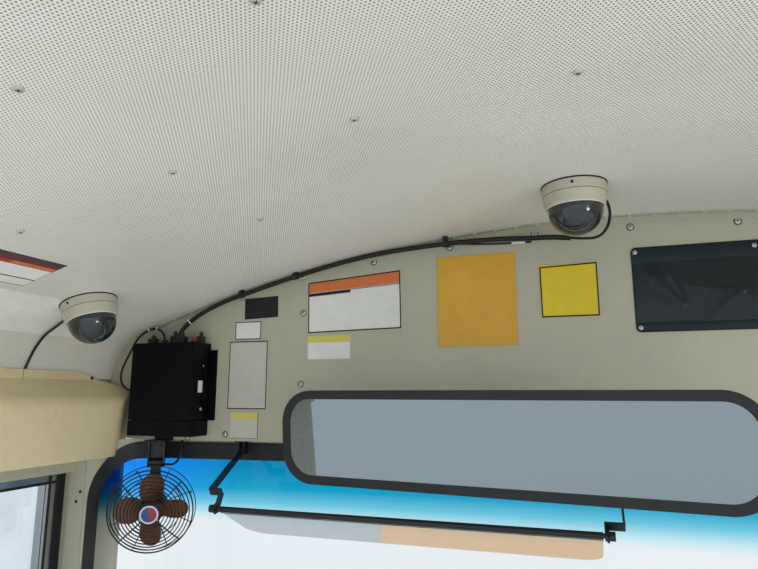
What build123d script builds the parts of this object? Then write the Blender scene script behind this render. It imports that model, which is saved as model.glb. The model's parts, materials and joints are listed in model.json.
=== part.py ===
"""Front overhead section of a school bus.

The section holds the windshield, the header panel above it, the perforated headliner and
what is mounted there: mirror, sun visor, fan, dome cameras, recorder, wiring and pouch.
Millimetres. +Y is forward through the windshield, +X is to the door side, +Z is up.
The origin is on the foot of the cowl rail, at the middle of the bus.
"""
from build123d import *
import os
from math import asin, atan2, cos, degrees, hypot, pi, radians, sin, sqrt, tan

os.makedirs("parts", exist_ok=True)

# Body shell
BODY_HALF = 1219.0
WALL = 69.0
INNER_HALF = BODY_HALF - WALL
ROOF_R = 3000.0
APEX_Z = 1372.0
SHOULDER_R = 105.0
ROOF_T = 50.0
HEADLINER_T = 4.0
REAR_Y = -1016.0
EAVE_Z = APEX_Z - 294.0
ROOF_BEYOND_Z = APEX_Z + 230.0
SPLIT_Y = -188.0
SHEET = 4.0
SEAT_GAP = 0.3

# Header and front cap
HEADER_Y = -90.0
HEADER_T = 6.0
HEADER_H = 438.0
LIP_Z = APEX_Z - HEADER_H
CAP_Z = LIP_Z + SHEET
CAP_FRONT_Y = 16.0
CAP_CORNER_R = 165.0
CAP_BROW_R = 150.0
SEAM_W = 14.0
SEAM_T = 2.0
SEAM_FLANGE = 16.0
SEAM_HALF = INNER_HALF - 90.0

# Windshield, curved in plan
VIEW_HALF = INNER_HALF - 56.0
GLASS_T = 6.0
GLASS_R = 9500.0
GLASS_CORNER_X = VIEW_HALF - 34.0
GLASS_CORNER_Y = -GLASS_CORNER_X**2 / (2 * GLASS_R)
GLASS_CORNER_R = 170.0
FLANK_DEG = 63.4
VIEW_LOW_Z = 110.0
VIEW_TOP_Z = LIP_Z - 45.0
VIEW_CUT = 64.0
VIEW_TOP_R = 150.0
VIEW_SIDE_R = 60.0
VIEW_LOW_R = 90.0
EDGE_DEG = 50.0
EDGE_RUN = 400.0
GASKET_W = 38.0
GASKET_OUT = 5.0
GASKET_IN = 15.0
GLASS_BITE = 8.0
FRAME_OUT = 2.0
FRAME_T = 8.0
TRIM_T = 4.0
COWL_TOP_Z = VIEW_LOW_Z - GASKET_W - 2.0
COWL_FRONT_Y = 45.0
COWL_DEPTH = 60.0
COWL_BOLT_X = 800.0
COWL_BOLT_Y = (-8.0, 28.0)
COWL_BOLT_R = 5.5
COWL_LEDGE_HALF = COWL_BOLT_X + 100.0

# Pillar in plan: depth of its outer face and nose behind the glass plane
PILLAR_NOSE_Y = -112.0
PILLAR_OUTER_Y = -150.0
PILLAR_EDGE_R = 22.0

# Side openings
WINDOW_REAR_Y = -880.0
WINDOW_LOW_Z = 240.0
WINDOW_TOP_Z = LIP_Z - 66.0
SASH_FRONT = 41.0
SASH_TOP = 20.0
SASH_W = 28.0
SASH_T = 34.0
SASH_IN = 16.0
PANE_T = 4.0
HEAD_STRIP_T = 14.0
HEAD_STRIP_H = 21.0
DOOR_FRONT_Y = -250.0
DOOR_REAR_Y = -930.0
DOOR_TOP_Z = LIP_Z - 34.0
DOOR_R = 60.0

# Moulded side covers: how far they stand in from the wall, and their heights
COVER_GAP = 2.0
COVER_BAND = 7.0
COVER_CREASE = 88.0
COVER_FOOT = 72.0
COVER_TOP_Z = LIP_Z + 153.0
COVER_BAND_Z = LIP_Z + 138.0
COVER_CREASE_Z = LIP_Z + 91.0
COVER_FOOT_Z = LIP_Z - 37.0
COVER_LOW_Z = LIP_Z - 43.0
COVER_T = 4.0
COVER_FRONT_Y = HEADER_Y - 4.0
COVER_DIP = 32.0
COVER_DIP_Y = COVER_FRONT_Y - 106.0
COVER_R = 26.0
COVER_NOSE_R = 60.0
COVER_TOE_R = 60.0

# Mirror
MIRROR_W = 768.0
MIRROR_H = 165.0
MIRROR_D = 26.0
MIRROR_R = 58.0
MIRROR_RIM = 15.0
MIRROR_AT = (-206.0, HEADER_Y - 216.0, LIP_Z + 28.0)
MIRROR_YAW = 7.5
MIRROR_TILT = 5.0
MIRROR_PIVOT_D = 30.0
MIRROR_ARM_X = 190.0
MIRROR_ARM_R = 6.0
PIN_R = 4.0
PIN_GAP = 0.08

# Visor: places as (Y, Z)
VISOR_PIVOT = (HEADER_Y + 17.0, LIP_Z - 20.0)
VISOR_ROD = (HEADER_Y - 117.0, LIP_Z - 121.0)
VISOR_ROD_R = 4.0
VISOR_LEFT_X = -787.0
VISOR_RIGHT_X = -9.0
VISOR_ELBOWS = {-1: (HEADER_Y - 102.0, LIP_Z - 91.0), 1: (HEADER_Y - 110.0, LIP_Z - 107.0)}
VISOR_JOG = {-1: 26.0, 1: 29.0}
VISOR_ARM_W = 16.0
VISOR_ARM_T = 3.0
VISOR_PANEL_D = 152.0
VISOR_PANEL_T = 3.0
VISOR_DROP_DEG = 27.6
VISOR_PANEL_R = 38.0
VISOR_CLAMP_R = 5.6
VISOR_SMOKED_W = 336.0
VISOR_JOINT_SLANT = 42.0
VISOR_END_GAP = 4.0
VISOR_NUT = 15.0
VISOR_KNOB_R = 7.5

# Warning lamps on the cap: distance from the middle, and the marker lamps
LAMP_X = {"amber": 560.0, "red": 800.0}
LAMP_Z = LIP_Z + 128.0
LAMP_R = 88.0
LAMP_PROUD = 22.0
BOARD_T = 6.0
BOARD_H = 214.0
MARKER_X = (0.0, 150.0, -150.0, 1000.0, -1000.0)
MARKER_Z = LIP_Z + 271.0
MARKER_RISE = 45.0
MARKER_R = 32.0
MARKER_T = 14.0

# Fan
FAN_AT = (181.0 - INNER_HALF, HEADER_Y - 50.0, LIP_Z - 146.0)
FAN_AXIS = (0.50, -0.85, -0.16)
FAN_R = 93.0
FAN_WIRE = 2.0
FAN_SET = 1.0
FAN_RINGS = (80.0, 67.0, 54.0, 41.0)
FAN_RIBS = 4
FAN_BACK_RIBS = 8
FAN_RIM_Z = (10.0, -12.0)
FAN_DOME = 20.0
FAN_BACK = 12.0
FAN_BADGE_R = 21.0
FAN_HUB_R = 19.0
FAN_BLADE_R = 78.0
FAN_BLADE_W = 48.0
FAN_BLADES = 4
FAN_BLADE_T = 1.8
FAN_MOTOR_R = 29.0
FAN_MOTOR_Z = -14.0
FAN_MOTOR_L = 34.0
FAN_SHAFT_R = 3.0
FAN_PIVOT_Z = LIP_Z - 50.0
FAN_WEB_W = 36.0
FAN_WEB_Y = 11.5
FAN_YOKE_T = 3.0
FAN_EAR_R = 11.0
FAN_NECK = (22.0, 14.0)

# Cameras: place along X and Y
CAMERA_SPOTS = {"right": (-56.0, HEADER_Y - 213.0), "left": (187.0 - INNER_HALF, HEADER_Y - 282.0)}
CAMERA_R = 51.0
CAMERA_BASE_H = 17.0
CAMERA_SHELL_LOW = 38.0
CAMERA_TAPER = 3.5
CAMERA_DOME_R = 43.0
CAMERA_DOME_Z = 41.0
CAMERA_DOME_T = 2.5
CAMERA_EYE_R = 14.0
CAMERA_SEAT = 0.6

# Recorder
RECORDER_X = (113.0 - INNER_HALF, 281.0 - INNER_HALF)
RECORDER_Z = (LIP_Z + 11.0, LIP_Z + 217.0)
RECORDER_D = 64.0
RECORDER_FLAP = 34.0
RECORDER_PLATE = 3.0

# Pouch and sign plates: X range, Z range
POUCH_X = (40.0, 400.0)
POUCH_Z = (LIP_Z + 215.0, LIP_Z + 375.0)
POUCH_T = 8.0
POUCH_R = 9.0
SIGN_T = 1.5
SIGNS = {
    "rules_plate": ((-332.0, -174.0), (LIP_Z + 198.0, LIP_Z + 383.0)),
    "notice_plate": ((-128.0, -21.0), (LIP_Z + 249.0, LIP_Z + 352.0)),
}

# Cords and the clips that hold the harness, by the run that each one is on
HARNESS_D = 10.0
LEAD_D = 5.0
THIN_LEAD_D = 4.0
CLIP_RUNS = (5, 7, 11)
CLIP_W = 10.0
CLIP_T = 2.0
CLIP_GAP = 0.2


def save(name, *shapes):
    """Write one node's solids."""
    solids = [s for shape in shapes for s in shape.solids()]
    node = solids[0] if len(solids) == 1 else Compound(children=solids)
    node.label = name
    export_step(node, f"parts/{name}.step")


def both_sides(shape):
    """The piece and its mirror image about the middle plane of the bus."""
    return shape, mirror(shape, about=Plane.YZ)


def slab_xy(face, z_low, z_high):
    """Raise a plan outline between two heights."""
    return Pos(0, 0, z_low) * extrude(face, z_high - z_low, dir=(0, 0, 1))


def slab_xz(face, y_front, y_rear):
    """Run a front view outline back from one station to another."""
    return Pos(0, y_front, 0) * extrude(Plane.XZ * face, y_front - y_rear, dir=(0, -1, 0))


def slab_yz(face, x_low, x_high):
    """Run a side view outline, drawn as (Y, Z), across from one station to another."""
    return Pos(x_low, 0, 0) * extrude(Plane.YZ * face, x_high - x_low, dir=(1, 0, 0))


def block(x, y, z):
    """A box between pairs of limits."""
    size = [abs(b - a) for a, b in (x, y, z)]
    return Pos(*[(a + b) / 2 for a, b in (x, y, z)]) * Box(*size)


def arch(grow, side_grow, low_z):
    """Area under the roof arch, its ceiling face grown outward."""
    half = INNER_HALF + side_grow
    disc = Pos(0, APEX_Z - ROOF_R) * Circle(ROOF_R + grow)
    high_z = APEX_Z + grow + 10.0
    field = Pos(0, (low_z + high_z) / 2) * Rectangle(2 * half, high_z - low_z)
    face = (disc & field).faces()[0]
    spots = [v for v in face.vertices() if v.Y > low_z + 1.0]
    return fillet(spots, SHOULDER_R + grow)


def nose(grow):
    """Plan area behind the windshield's curve, grown outward from the glass."""
    run = (GLASS_CORNER_Y - REAR_Y) / sin(radians(FLANK_DEG))
    flank = Vector(cos(radians(FLANK_DEG)), -sin(radians(FLANK_DEG)))
    outward = Vector(-flank.Y, flank.X)
    corner = Vector(GLASS_CORNER_X, GLASS_CORNER_Y) + outward * grow
    top = corner - flank * GLASS_CORNER_R
    foot = corner + flank * run
    sides = Polygon(
        (top.X, top.Y), (foot.X, foot.Y), (-foot.X, foot.Y), (-top.X, top.Y), align=None
    )
    disc = Pos(0, -GLASS_R) * Circle(GLASS_R + grow)
    face = (disc & sides).faces()[0]
    corners = face.vertices().group_by(Axis.Y)[-1]
    return fillet(corners, GLASS_CORNER_R + grow)


def nose_shell(outer, inner, z_low, z_high):
    """Upright sheet that follows the windshield's plan curve back to the side wall."""
    ring = nose(outer) - nose(inner)
    keep = Pos(0, BODY_HALF + SPLIT_Y) * Rectangle(2 * BODY_HALF, 2 * BODY_HALF)
    return slab_xy(ring & keep, z_low, z_high)


def sight(grow):
    """Front view outline of the windshield, grown from its clear opening."""
    low, high, side = VIEW_LOW_Z, VIEW_TOP_Z, VIEW_HALF
    right = [(side, low), (side, high - VIEW_CUT), (side - VIEW_CUT, high)]
    left = [(-x, z) for x, z in right[::-1]]
    outline = Polygon(*right, *left, align=None)
    for z, radius in ((low, VIEW_LOW_R), (high - VIEW_CUT, VIEW_SIDE_R), (high, VIEW_TOP_R)):
        outline = fillet([v for v in outline.vertices() if abs(v.Y - z) < SEAT_GAP], radius)
    return offset(outline, grow) if grow else outline


def sight_prism(grow):
    """The opening run through the front wall, its ends cut across the curved glass."""
    lean, turn = radians(FLANK_DEG), radians(EDGE_DEG)
    seat_y = GLASS_CORNER_Y - (VIEW_HALF - GLASS_CORNER_X) * tan(lean) - GASKET_IN / cos(lean)
    field = Pos(BODY_HALF - EDGE_RUN, APEX_Z / 2) * Rectangle(2 * BODY_HALF, 2 * APEX_Z)
    half = Pos(0, seat_y, 0) * (Plane.XZ * (sight(grow) & field))
    right = extrude(half, EDGE_RUN, dir=(sin(turn), cos(turn), 0), both=True)
    return right + mirror(right, about=Plane.YZ)


def flank_x(grow):
    """Where the windshield's grown side meets the pillar's rear plane."""
    lean = radians(FLANK_DEG)
    return GLASS_CORNER_X + (GLASS_CORNER_Y - SPLIT_Y) / tan(lean) + grow / sin(lean)


# Roof, cap, walls and pillars
def roof_skin():
    ring = arch(ROOF_T, WALL, 0.0) - arch(HEADLINER_T, HEADLINER_T, -10.0)
    skin = slab_xz(ring, SPLIT_Y, REAR_Y)
    return skin & block((-BODY_HALF, BODY_HALF), (REAR_Y, SPLIT_Y), (EAVE_Z, ROOF_BEYOND_Z))


def headliner_panel():
    ring = arch(HEADLINER_T, HEADLINER_T, 0.0) - arch(0.0, 0.0, -10.0)
    sheet = slab_xz(ring, HEADER_Y + HEADER_T, REAR_Y)
    return sheet & block((-BODY_HALF, BODY_HALF), (REAR_Y, 0.0), (EAVE_Z, ROOF_BEYOND_Z))


def cap_plan(grow):
    """Plan of the front cap, its face grown outward."""
    front = Pos(0, CAP_FRONT_Y - GLASS_R) * Circle(GLASS_R + grow)
    field = Pos(0, REAR_Y / 2) * Rectangle(2 * (BODY_HALF + grow), 4 * abs(SPLIT_Y) - REAR_Y)
    plan = (front & field).faces()[0]
    return fillet(plan.vertices().group_by(Axis.Y)[-1], CAP_CORNER_R + grow)


def front_cap():
    field = slab_xz(arch(ROOF_T, WALL, 0.0), abs(SPLIT_Y), SPLIT_Y)
    body = slab_xy(cap_plan(0.0), CAP_Z, ROOF_BEYOND_Z) & field
    brow_z = APEX_Z + ROOF_T
    side = Polygon(
        (SPLIT_Y, LIP_Z), (CAP_FRONT_Y, LIP_Z), (CAP_FRONT_Y, brow_z), (SPLIT_Y, brow_z), align=None
    )
    lead = [v for v in side.vertices() if v.X > SPLIT_Y + 1 and v.Y > LIP_Z + 1]
    body &= slab_yz(fillet(lead, CAP_BROW_R), -BODY_HALF - 1, BODY_HALF + 1)
    hollow = slab_xz(arch(HEADLINER_T, HEADLINER_T, 0.0), HEADER_Y + HEADER_T, SPLIT_Y - 1)
    return body - hollow


def lamp_boards():
    """Black backing boards under the warning lamps, one on each side."""
    skin = slab_xy(cap_plan(BOARD_T) - cap_plan(0.0), LAMP_Z - BOARD_H / 2, LAMP_Z + BOARD_H / 2)
    mid = (LAMP_X["amber"] + LAMP_X["red"]) / 2
    wide = LAMP_X["red"] - LAMP_X["amber"] + BOARD_H
    outline = Pos(mid, LAMP_Z) * RectangleRounded(wide, BOARD_H, 40.0)
    board = slab_xz(outline, CAP_FRONT_Y + 2 * BOARD_T, SPLIT_Y) & skin
    return both_sides(board)


def lens_at(x, z, radius, front, depth, bevel):
    """A round lens facing forward, its rim bevelled."""
    lens = Pos(x, front - depth / 2, z) * Rot(-90, 0, 0) * Cylinder(radius, depth)
    return chamfer(lens.edges().group_by(Axis.Y)[-1], bevel)


def warning_lamps(x):
    """Round lens seated on the board, one on each side."""
    front = CAP_FRONT_Y - x**2 / (2 * GLASS_R) + BOARD_T + LAMP_PROUD
    lens = lens_at(x, LAMP_Z, LAMP_R, front, LAMP_PROUD + 40.0, 14.0)
    lens -= slab_xy(cap_plan(BOARD_T), LIP_Z, ROOF_BEYOND_Z)
    return both_sides(lens)


def marker_lamps():
    """Small clearance lamps across the cap's face."""
    cap = front_cap()
    lamps = []
    for x in MARKER_X:
        z = MARKER_Z if abs(x) > LAMP_X["red"] else MARKER_Z + MARKER_RISE
        front = CAP_FRONT_Y - x**2 / (2 * GLASS_R) + MARKER_T
        lamps.append(lens_at(x, z, MARKER_R, front, 40.0, 5.0) - cap)
    return lamps


def header_panel():
    face = arch(0.0, 0.0, LIP_Z)
    sheet = slab_xz(face, HEADER_Y + HEADER_T, HEADER_Y)
    field = Pos(0, HEADER_Y + BODY_HALF) * Rectangle(2 * INNER_HALF, 2 * BODY_HALF)
    return sheet + slab_xy(nose(FRAME_OUT) & field, LIP_Z, CAP_Z)


def header_seam_strip():
    """Angle that covers the joint between header and ceiling."""
    ring = arch(0.0, 0.0, 0.0) - arch(-SEAM_W, -SEAM_W, -10.0)
    strip = slab_xz(ring, HEADER_Y, HEADER_Y - SEAM_T)
    edge = arch(0.0, 0.0, 0.0) - arch(-SEAM_T, -SEAM_T, -10.0)
    whole = strip + slab_xz(edge, HEADER_Y, HEADER_Y - SEAM_FLANGE)
    field = block((-SEAM_HALF, SEAM_HALF), (SPLIT_Y, 0.0), (EAVE_Z, ROOF_BEYOND_Z))
    return whole & field


def windshield_glass():
    return nose_shell(0.0, -GLASS_T, 0.0, LIP_Z) & sight_prism(GLASS_BITE)


def gasket_zone():
    return nose_shell(GASKET_OUT, -GASKET_IN, 0.0, LIP_Z) & sight_prism(GASKET_W)


def windshield_gasket():
    return gasket_zone() - sight_prism(0.0) - windshield_glass()


def windshield_frame():
    return nose_shell(FRAME_OUT, -FRAME_T, COWL_TOP_Z, LIP_Z) - sight_prism(GASKET_W)


def windshield_trim():
    return nose_shell(-FRAME_T, -FRAME_T - TRIM_T, COWL_TOP_Z, LIP_Z) - sight_prism(GASKET_W)


def cowl_rail():
    back = nose(FRAME_OUT) - nose(-COWL_DEPTH)
    keep = Pos(0, BODY_HALF + SPLIT_Y) * Rectangle(2 * BODY_HALF, 2 * BODY_HALF)
    rail = slab_xy(back & keep, 0.0, COWL_TOP_Z)
    reach = COWL_FRONT_Y - SPLIT_Y
    ledge_plan = Pos(0, COWL_FRONT_Y - reach / 2) * Rectangle(2 * COWL_LEDGE_HALF, reach)
    whole = rail + slab_xy(ledge_plan - nose(FRAME_OUT), 0.0, COWL_TOP_Z / 2)
    for x in (-COWL_BOLT_X, COWL_BOLT_X):
        for y in COWL_BOLT_Y:
            whole -= Pos(x, y, 0) * Cylinder(COWL_BOLT_R, 3 * COWL_TOP_Z)
    return whole


def pillar_plan():
    """Door side A-pillar in plan, outside the windshield frame."""
    outline = Polygon(
        (GLASS_CORNER_X + 25.0, PILLAR_NOSE_Y + 12.0),
        (INNER_HALF + 25.0, PILLAR_NOSE_Y),
        (BODY_HALF, PILLAR_OUTER_Y),
        (BODY_HALF, SPLIT_Y),
        (GLASS_CORNER_X + 40.0, SPLIT_Y),
        align=None,
    )
    soft = [v for v in outline.vertices() if v.X > INNER_HALF and v.Y > SPLIT_Y + 1]
    return fillet(soft, PILLAR_EDGE_R) - nose(FRAME_OUT)


def a_pillar():
    return slab_xy(pillar_plan(), 0.0, CAP_Z) - gasket_zone()


def a_pillar_cover():
    """Flat plate on the back of the pillar, from the windshield trim to the wall."""
    across = (flank_x(-FRAME_T - TRIM_T) - 2.0, INNER_HALF - SEAT_GAP)
    rear = SPLIT_Y - SEAT_GAP
    return block(across, (rear - SHEET, rear), (0.0, COVER_LOW_Z - SEAT_GAP))


def side_wall():
    return block((INNER_HALF, BODY_HALF), (REAR_Y, SPLIT_Y), (0.0, EAVE_Z))


def window_zone(x, front, top, rest):
    """Driver's window opening between two depths, taken in from its front, top and the rest."""
    y = (WINDOW_REAR_Y + rest, SPLIT_Y - front)
    return block(x, y, (WINDOW_LOW_Z + rest, WINDOW_TOP_Z - top))


def driver_side_wall():
    """Wall with the driver's window cut in it, open forward to the pillar."""
    past = (-BODY_HALF - WALL, -INNER_HALF + WALL)
    return mirror(side_wall(), about=Plane.YZ) - window_zone(past, -WALL, 0.0, 0.0)


def door_side_wall():
    past = (INNER_HALF - WALL, BODY_HALF + WALL)
    cut = block(past, (DOOR_REAR_Y, DOOR_FRONT_Y), (-WALL, DOOR_TOP_Z))
    upper = cut.edges().filter_by(Axis.X).group_by(Axis.Z)[-1]
    return side_wall() - fillet(upper, DOOR_R)


def driver_window():
    """Fixed ring, middle bar and two panes, the rear one in the outer track."""
    inner_x = -INNER_HALF - SASH_IN
    outer_x = inner_x - SASH_T
    depth = (outer_x, inner_x)
    clear = window_zone(depth, SASH_FRONT, SASH_TOP, SASH_W)
    ring = window_zone(depth, SEAT_GAP, SEAT_GAP, SEAT_GAP) - clear
    mid_y = (SPLIT_Y - SASH_FRONT + WINDOW_REAR_Y + SASH_W) / 2
    bar = (mid_y - SASH_W / 2, mid_y + SASH_W / 2)
    height = (0.0, APEX_Z)
    panes = []
    for step, span in ((8.0, (REAR_Y, bar[0])), (20.0, (bar[1], 0.0))):
        x = outer_x + step
        panes.append(clear & block((x, x + PANE_T), span, height))
    return ring + (clear & block(depth, bar, height)), panes


def window_head_strip():
    """Trim ledge along the wall over the driver's window."""
    x = (-INNER_HALF + SEAT_GAP, -INNER_HALF + HEAD_STRIP_T)
    z = (WINDOW_TOP_Z, WINDOW_TOP_Z + HEAD_STRIP_H)
    return block(x, (REAR_Y, SPLIT_Y - SHEET - 1.0), z)


def cover_outline(inset):
    """Cross-section of a side cover, or of the room in it."""
    back = INNER_HALF - COVER_GAP
    crease, foot = INNER_HALF - COVER_CREASE, INNER_HALF - COVER_FOOT
    face = Polygon(
        (back, COVER_LOW_Z), (back, COVER_BAND_Z), (crease, COVER_CREASE_Z), (foot, COVER_FOOT_Z), align=None
    )
    face = fillet([v for v in face.vertices() if v.X < crease + 1], COVER_R)
    if inset:
        low, high = COVER_LOW_Z + inset + 1.0, COVER_BAND_Z - 3 * inset
        return offset(face, -inset) + Pos(back, (low + high) / 2) * Rectangle(4 * inset, high - low)
    band = Rectangle(COVER_BAND, COVER_TOP_Z - COVER_CREASE_Z)
    return face + Pos(back - COVER_BAND / 2, (COVER_TOP_Z + COVER_CREASE_Z) / 2) * band


def cover_form(inset):
    """Side cover's outer form, or the room in it with an inset of its wall."""
    crease = INNER_HALF - COVER_CREASE
    front, rear = COVER_FRONT_Y - inset, REAR_Y - inset
    low, high = COVER_LOW_Z + inset, COVER_TOP_Z - inset
    slope = (COVER_CREASE - COVER_FOOT) / (COVER_CREASE_Z - COVER_FOOT_Z)
    start = crease + inset + slope * (COVER_CREASE_Z - COVER_LOW_Z)
    plan = Polygon((start, rear), (start, front), (BODY_HALF, front), (BODY_HALF, rear), align=None)
    corner = [v for v in plan.vertices() if v.X < start + 1 and v.Y > front - 1]
    plan = fillet(corner, COVER_NOSE_R - inset)
    prism = extrude(plan, 2 * (COVER_TOP_Z - COVER_LOW_Z), dir=(-slope, 0, 1))
    side = Polygon(
        (rear, low), (front, low), (front, high - COVER_DIP), (COVER_DIP_Y, high), (rear, high), align=None
    )
    toe = [v for v in side.vertices() if v.X > front - 1 and v.Y < low + 1]
    side = fillet(toe, COVER_TOE_R - inset)
    body = slab_xz(cover_outline(inset), front, rear) & Pos(0, 0, COVER_LOW_Z) * prism
    return body & slab_yz(side, crease - COVER_CREASE, BODY_HALF)


def side_cover():
    """Moulded cover, open at the back, scribed to the windshield gasket below the header."""
    field = Pos(0, SPLIT_Y / 2) * Rectangle(2 * BODY_HALF, -SPLIT_Y)
    relief = slab_xy(field - nose(-GASKET_IN - SEAT_GAP), 0.0, CAP_Z + SEAT_GAP)
    return cover_form(0.0) - cover_form(COVER_T) - relief


def drip_rail():
    foot = block((BODY_HALF, BODY_HALF + 12), (REAR_Y, SPLIT_Y), (EAVE_Z - 6, EAVE_Z - 3))
    return foot + block((BODY_HALF + 9, BODY_HALF + 12), (REAR_Y, SPLIT_Y), (EAVE_Z - 6, EAVE_Z + 8))


# Mirror
def mirror_place():
    """Mirror's own frame: x along it, y forward, z up."""
    return Pos(*MIRROR_AT) * Rot(0, 0, -MIRROR_YAW) * Rot(MIRROR_TILT, 0, 0)


def mirror_outline(inset, depth, y_from):
    """Rounded slab in the mirror's own frame, running forward from y_from."""
    face = RectangleRounded(MIRROR_W - 2 * inset, MIRROR_H - 2 * inset, MIRROR_R - inset)
    return Pos(0, y_from + depth, 0) * extrude(Plane.XZ * face, depth)


def mirror_parts():
    glass = mirror_outline(MIRROR_RIM - 4.0, 3.0, -MIRROR_D / 2 + 2.0)
    rim = mirror_outline(0.0, 9.0, -MIRROR_D / 2) - mirror_outline(MIRROR_RIM, 30.0, -MIRROR_D)
    rim -= mirror_outline(MIRROR_RIM - 4.0, 20.0, -MIRROR_D / 2 + 2.0)
    shell = mirror_outline(3.0, MIRROR_D - 12.0, -MIRROR_D / 2 + 9.0)
    back_edges = shell.edges().group_by(Axis.Y)[-1]
    shell = chamfer(back_edges, 7.0) + mirror_outline(MIRROR_RIM - 3.7, 4.0, -MIRROR_D / 2 + 5.0)
    for side in (-1, 1):
        x = side * MIRROR_ARM_X
        for ear in (-1, 1):
            depth = (MIRROR_D / 2 + MIRROR_PIVOT_D) / 2
            shell += Pos(x + ear * 12.0, depth, 0) * Box(4.0, MIRROR_PIVOT_D - 4.0, 18.0)
        shell += Pos(x, MIRROR_PIVOT_D, 0) * Rot(0, 90, 0) * Cylinder(PIN_R, 30.0)
    place = mirror_place()
    return [place * piece for piece in (shell, rim, glass)]


def mirror_bracket(side):
    """Header foot, arm and eye round the mirror's pin."""
    spot = mirror_place() * Pos(side * MIRROR_ARM_X, MIRROR_PIVOT_D, 0)
    at = spot.position
    turn = Location((at.X, at.Y, at.Z), (0, 0, -MIRROR_YAW))
    eye = turn * Rot(0, 90, 0) * (Cylinder(9.0, 18.0))
    arm_end = HEADER_Y - 3.0
    length = arm_end - at.Y - 6.0
    arm = Pos(at.X, at.Y + 6.0 + length / 2, at.Z) * Rot(90, 0, 0) * Cylinder(MIRROR_ARM_R, length)
    foot = block((at.X - 22, at.X + 22), (HEADER_Y - 4, HEADER_Y), (at.Z - 26, at.Z + 26))
    hole = turn * Rot(0, 90, 0) * Cylinder(PIN_R + PIN_GAP, 40.0)
    return foot + arm + eye - hole


# Visor
def visor_xs(side):
    """Planes of an arm's long strip and of its short one at the rod."""
    outer = VISOR_LEFT_X if side < 0 else VISOR_RIGHT_X
    return outer, outer - side * VISOR_JOG[side]


def visor_strip(start, end, x, round_at):
    """Flat strip between two points given as (Y, Z), round at one of them."""
    (y0, z0), (y1, z1) = start, end
    face = Rot(0, 0, degrees(atan2(z1 - z0, y1 - y0))) * Rectangle(hypot(y1 - y0, z1 - z0), VISOR_ARM_W)
    face = Pos((y0 + y1) / 2, (z0 + z1) / 2) * face + Pos(*round_at) * Circle(VISOR_ARM_W / 2)
    return slab_yz(face, x - VISOR_ARM_T / 2, x + VISOR_ARM_T / 2)


def visor_arm(side):
    """One arm: long strip, step inward at the elbow, short strip down to the rod."""
    outer_x, inner_x = visor_xs(side)
    elbow = VISOR_ELBOWS[side]
    bar = visor_strip(VISOR_PIVOT, elbow, outer_x, VISOR_PIVOT)
    drop = visor_strip(elbow, VISOR_ROD, inner_x, VISOR_ROD)
    turn = degrees(atan2(elbow[1] - VISOR_PIVOT[1], elbow[0] - VISOR_PIVOT[0]))
    step = Box(abs(outer_x - inner_x) + VISOR_ARM_T, VISOR_ARM_T, VISOR_ARM_W)
    step = Pos((outer_x + inner_x) / 2, *elbow) * Rot(turn, 0, 0) * step
    pin = Pos(outer_x, *VISOR_PIVOT) * Rot(0, 90, 0) * Cylinder(PIN_R, 18.0)
    hole = Pos(inner_x, *VISOR_ROD) * Rot(0, 90, 0) * Cylinder(VISOR_ROD_R, 20.0)
    return bar + drop + step + pin - hole


def visor_rod():
    """Rod through both arms, with a square nut and a round cap on each end."""
    low_x, high_x = visor_xs(-1)[1], visor_xs(1)[1]
    whole = Pos((low_x + high_x) / 2, *VISOR_ROD) * Rot(0, 90, 0) * Cylinder(VISOR_ROD_R, high_x - low_x + 8.0)
    for side, inner_x in ((-1, low_x), (1, high_x)):
        x = inner_x + side * VISOR_ARM_T / 2
        whole += Pos(x + side * 2.0, *VISOR_ROD) * Rot(45, 0, 0) * Box(4.0, VISOR_NUT, VISOR_NUT)
        whole += Pos(x + side * 8.5, *VISOR_ROD) * Rot(0, 90, 0) * Cylinder(VISOR_KNOB_R, 9.0)
    return whole


def visor_bracket(side):
    """Tab under the lip on each side of the arm's pin."""
    x = visor_xs(side)[0]
    y, z = VISOR_PIVOT
    whole = block((x - 14, x + 14), (y - 15, y + 15), (LIP_Z - 3, LIP_Z))
    for ear in (x - 6.0, x + 6.0):
        whole += block((ear - 1.5, ear + 1.5), (y - 9, y + 9), (z - 9, LIP_Z))
    return whole - Pos(x, y, z) * Rot(0, 90, 0) * Cylinder(PIN_R + PIN_GAP, 60.0)


def visor_panel_parts():
    """Clamp strip round the rod, smoked end and tinted end."""
    low_x = visor_xs(-1)[1] + VISOR_END_GAP
    wide = visor_xs(1)[1] - VISOR_END_GAP - low_x
    place = Location((low_x, *VISOR_ROD), (-VISOR_DROP_DEG, 0, 0))
    clamp = Pos(wide / 2, 0, 0) * Rot(0, 90, 0) * Cylinder(VISOR_CLAMP_R, wide)
    clamp += Pos(wide / 2, 7.5, 0) * Box(wide, 15.0, 7.0)
    clamp -= Pos(wide / 2, 0, 0) * Rot(0, 90, 0) * Cylinder(VISOR_ROD_R + PIN_GAP, wide + 10)
    clamp -= Pos(wide / 2, 12.0, 0) * Box(wide + 10, 12.0, VISOR_PANEL_T + 0.2)
    face = Pos(wide / 2, 8.0 + (VISOR_PANEL_D - 8.0) / 2) * Rectangle(wide, VISOR_PANEL_D - 8.0)
    face = fillet(face.vertices().group_by(Axis.Y)[-1], VISOR_PANEL_R)
    far_x = VISOR_SMOKED_W - VISOR_JOINT_SLANT
    smoked = Polygon((0, 0), (VISOR_SMOKED_W, 0), (far_x, VISOR_PANEL_D), (0, VISOR_PANEL_D), align=None)
    sheets = [extrude(part, VISOR_PANEL_T / 2, both=True) for part in (face & smoked, face - smoked)]
    return [place * piece for piece in (clamp, *sheets)]


# Fan
def fan_plane():
    """Fan's own frame: z along the blast, x to the fan's right hand seen from the seat."""
    axis = Vector(*FAN_AXIS).normalized()
    across = Vector(-axis.Y, axis.X, 0).normalized()
    return Plane(origin=FAN_AT, x_dir=across, z_dir=axis)


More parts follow.
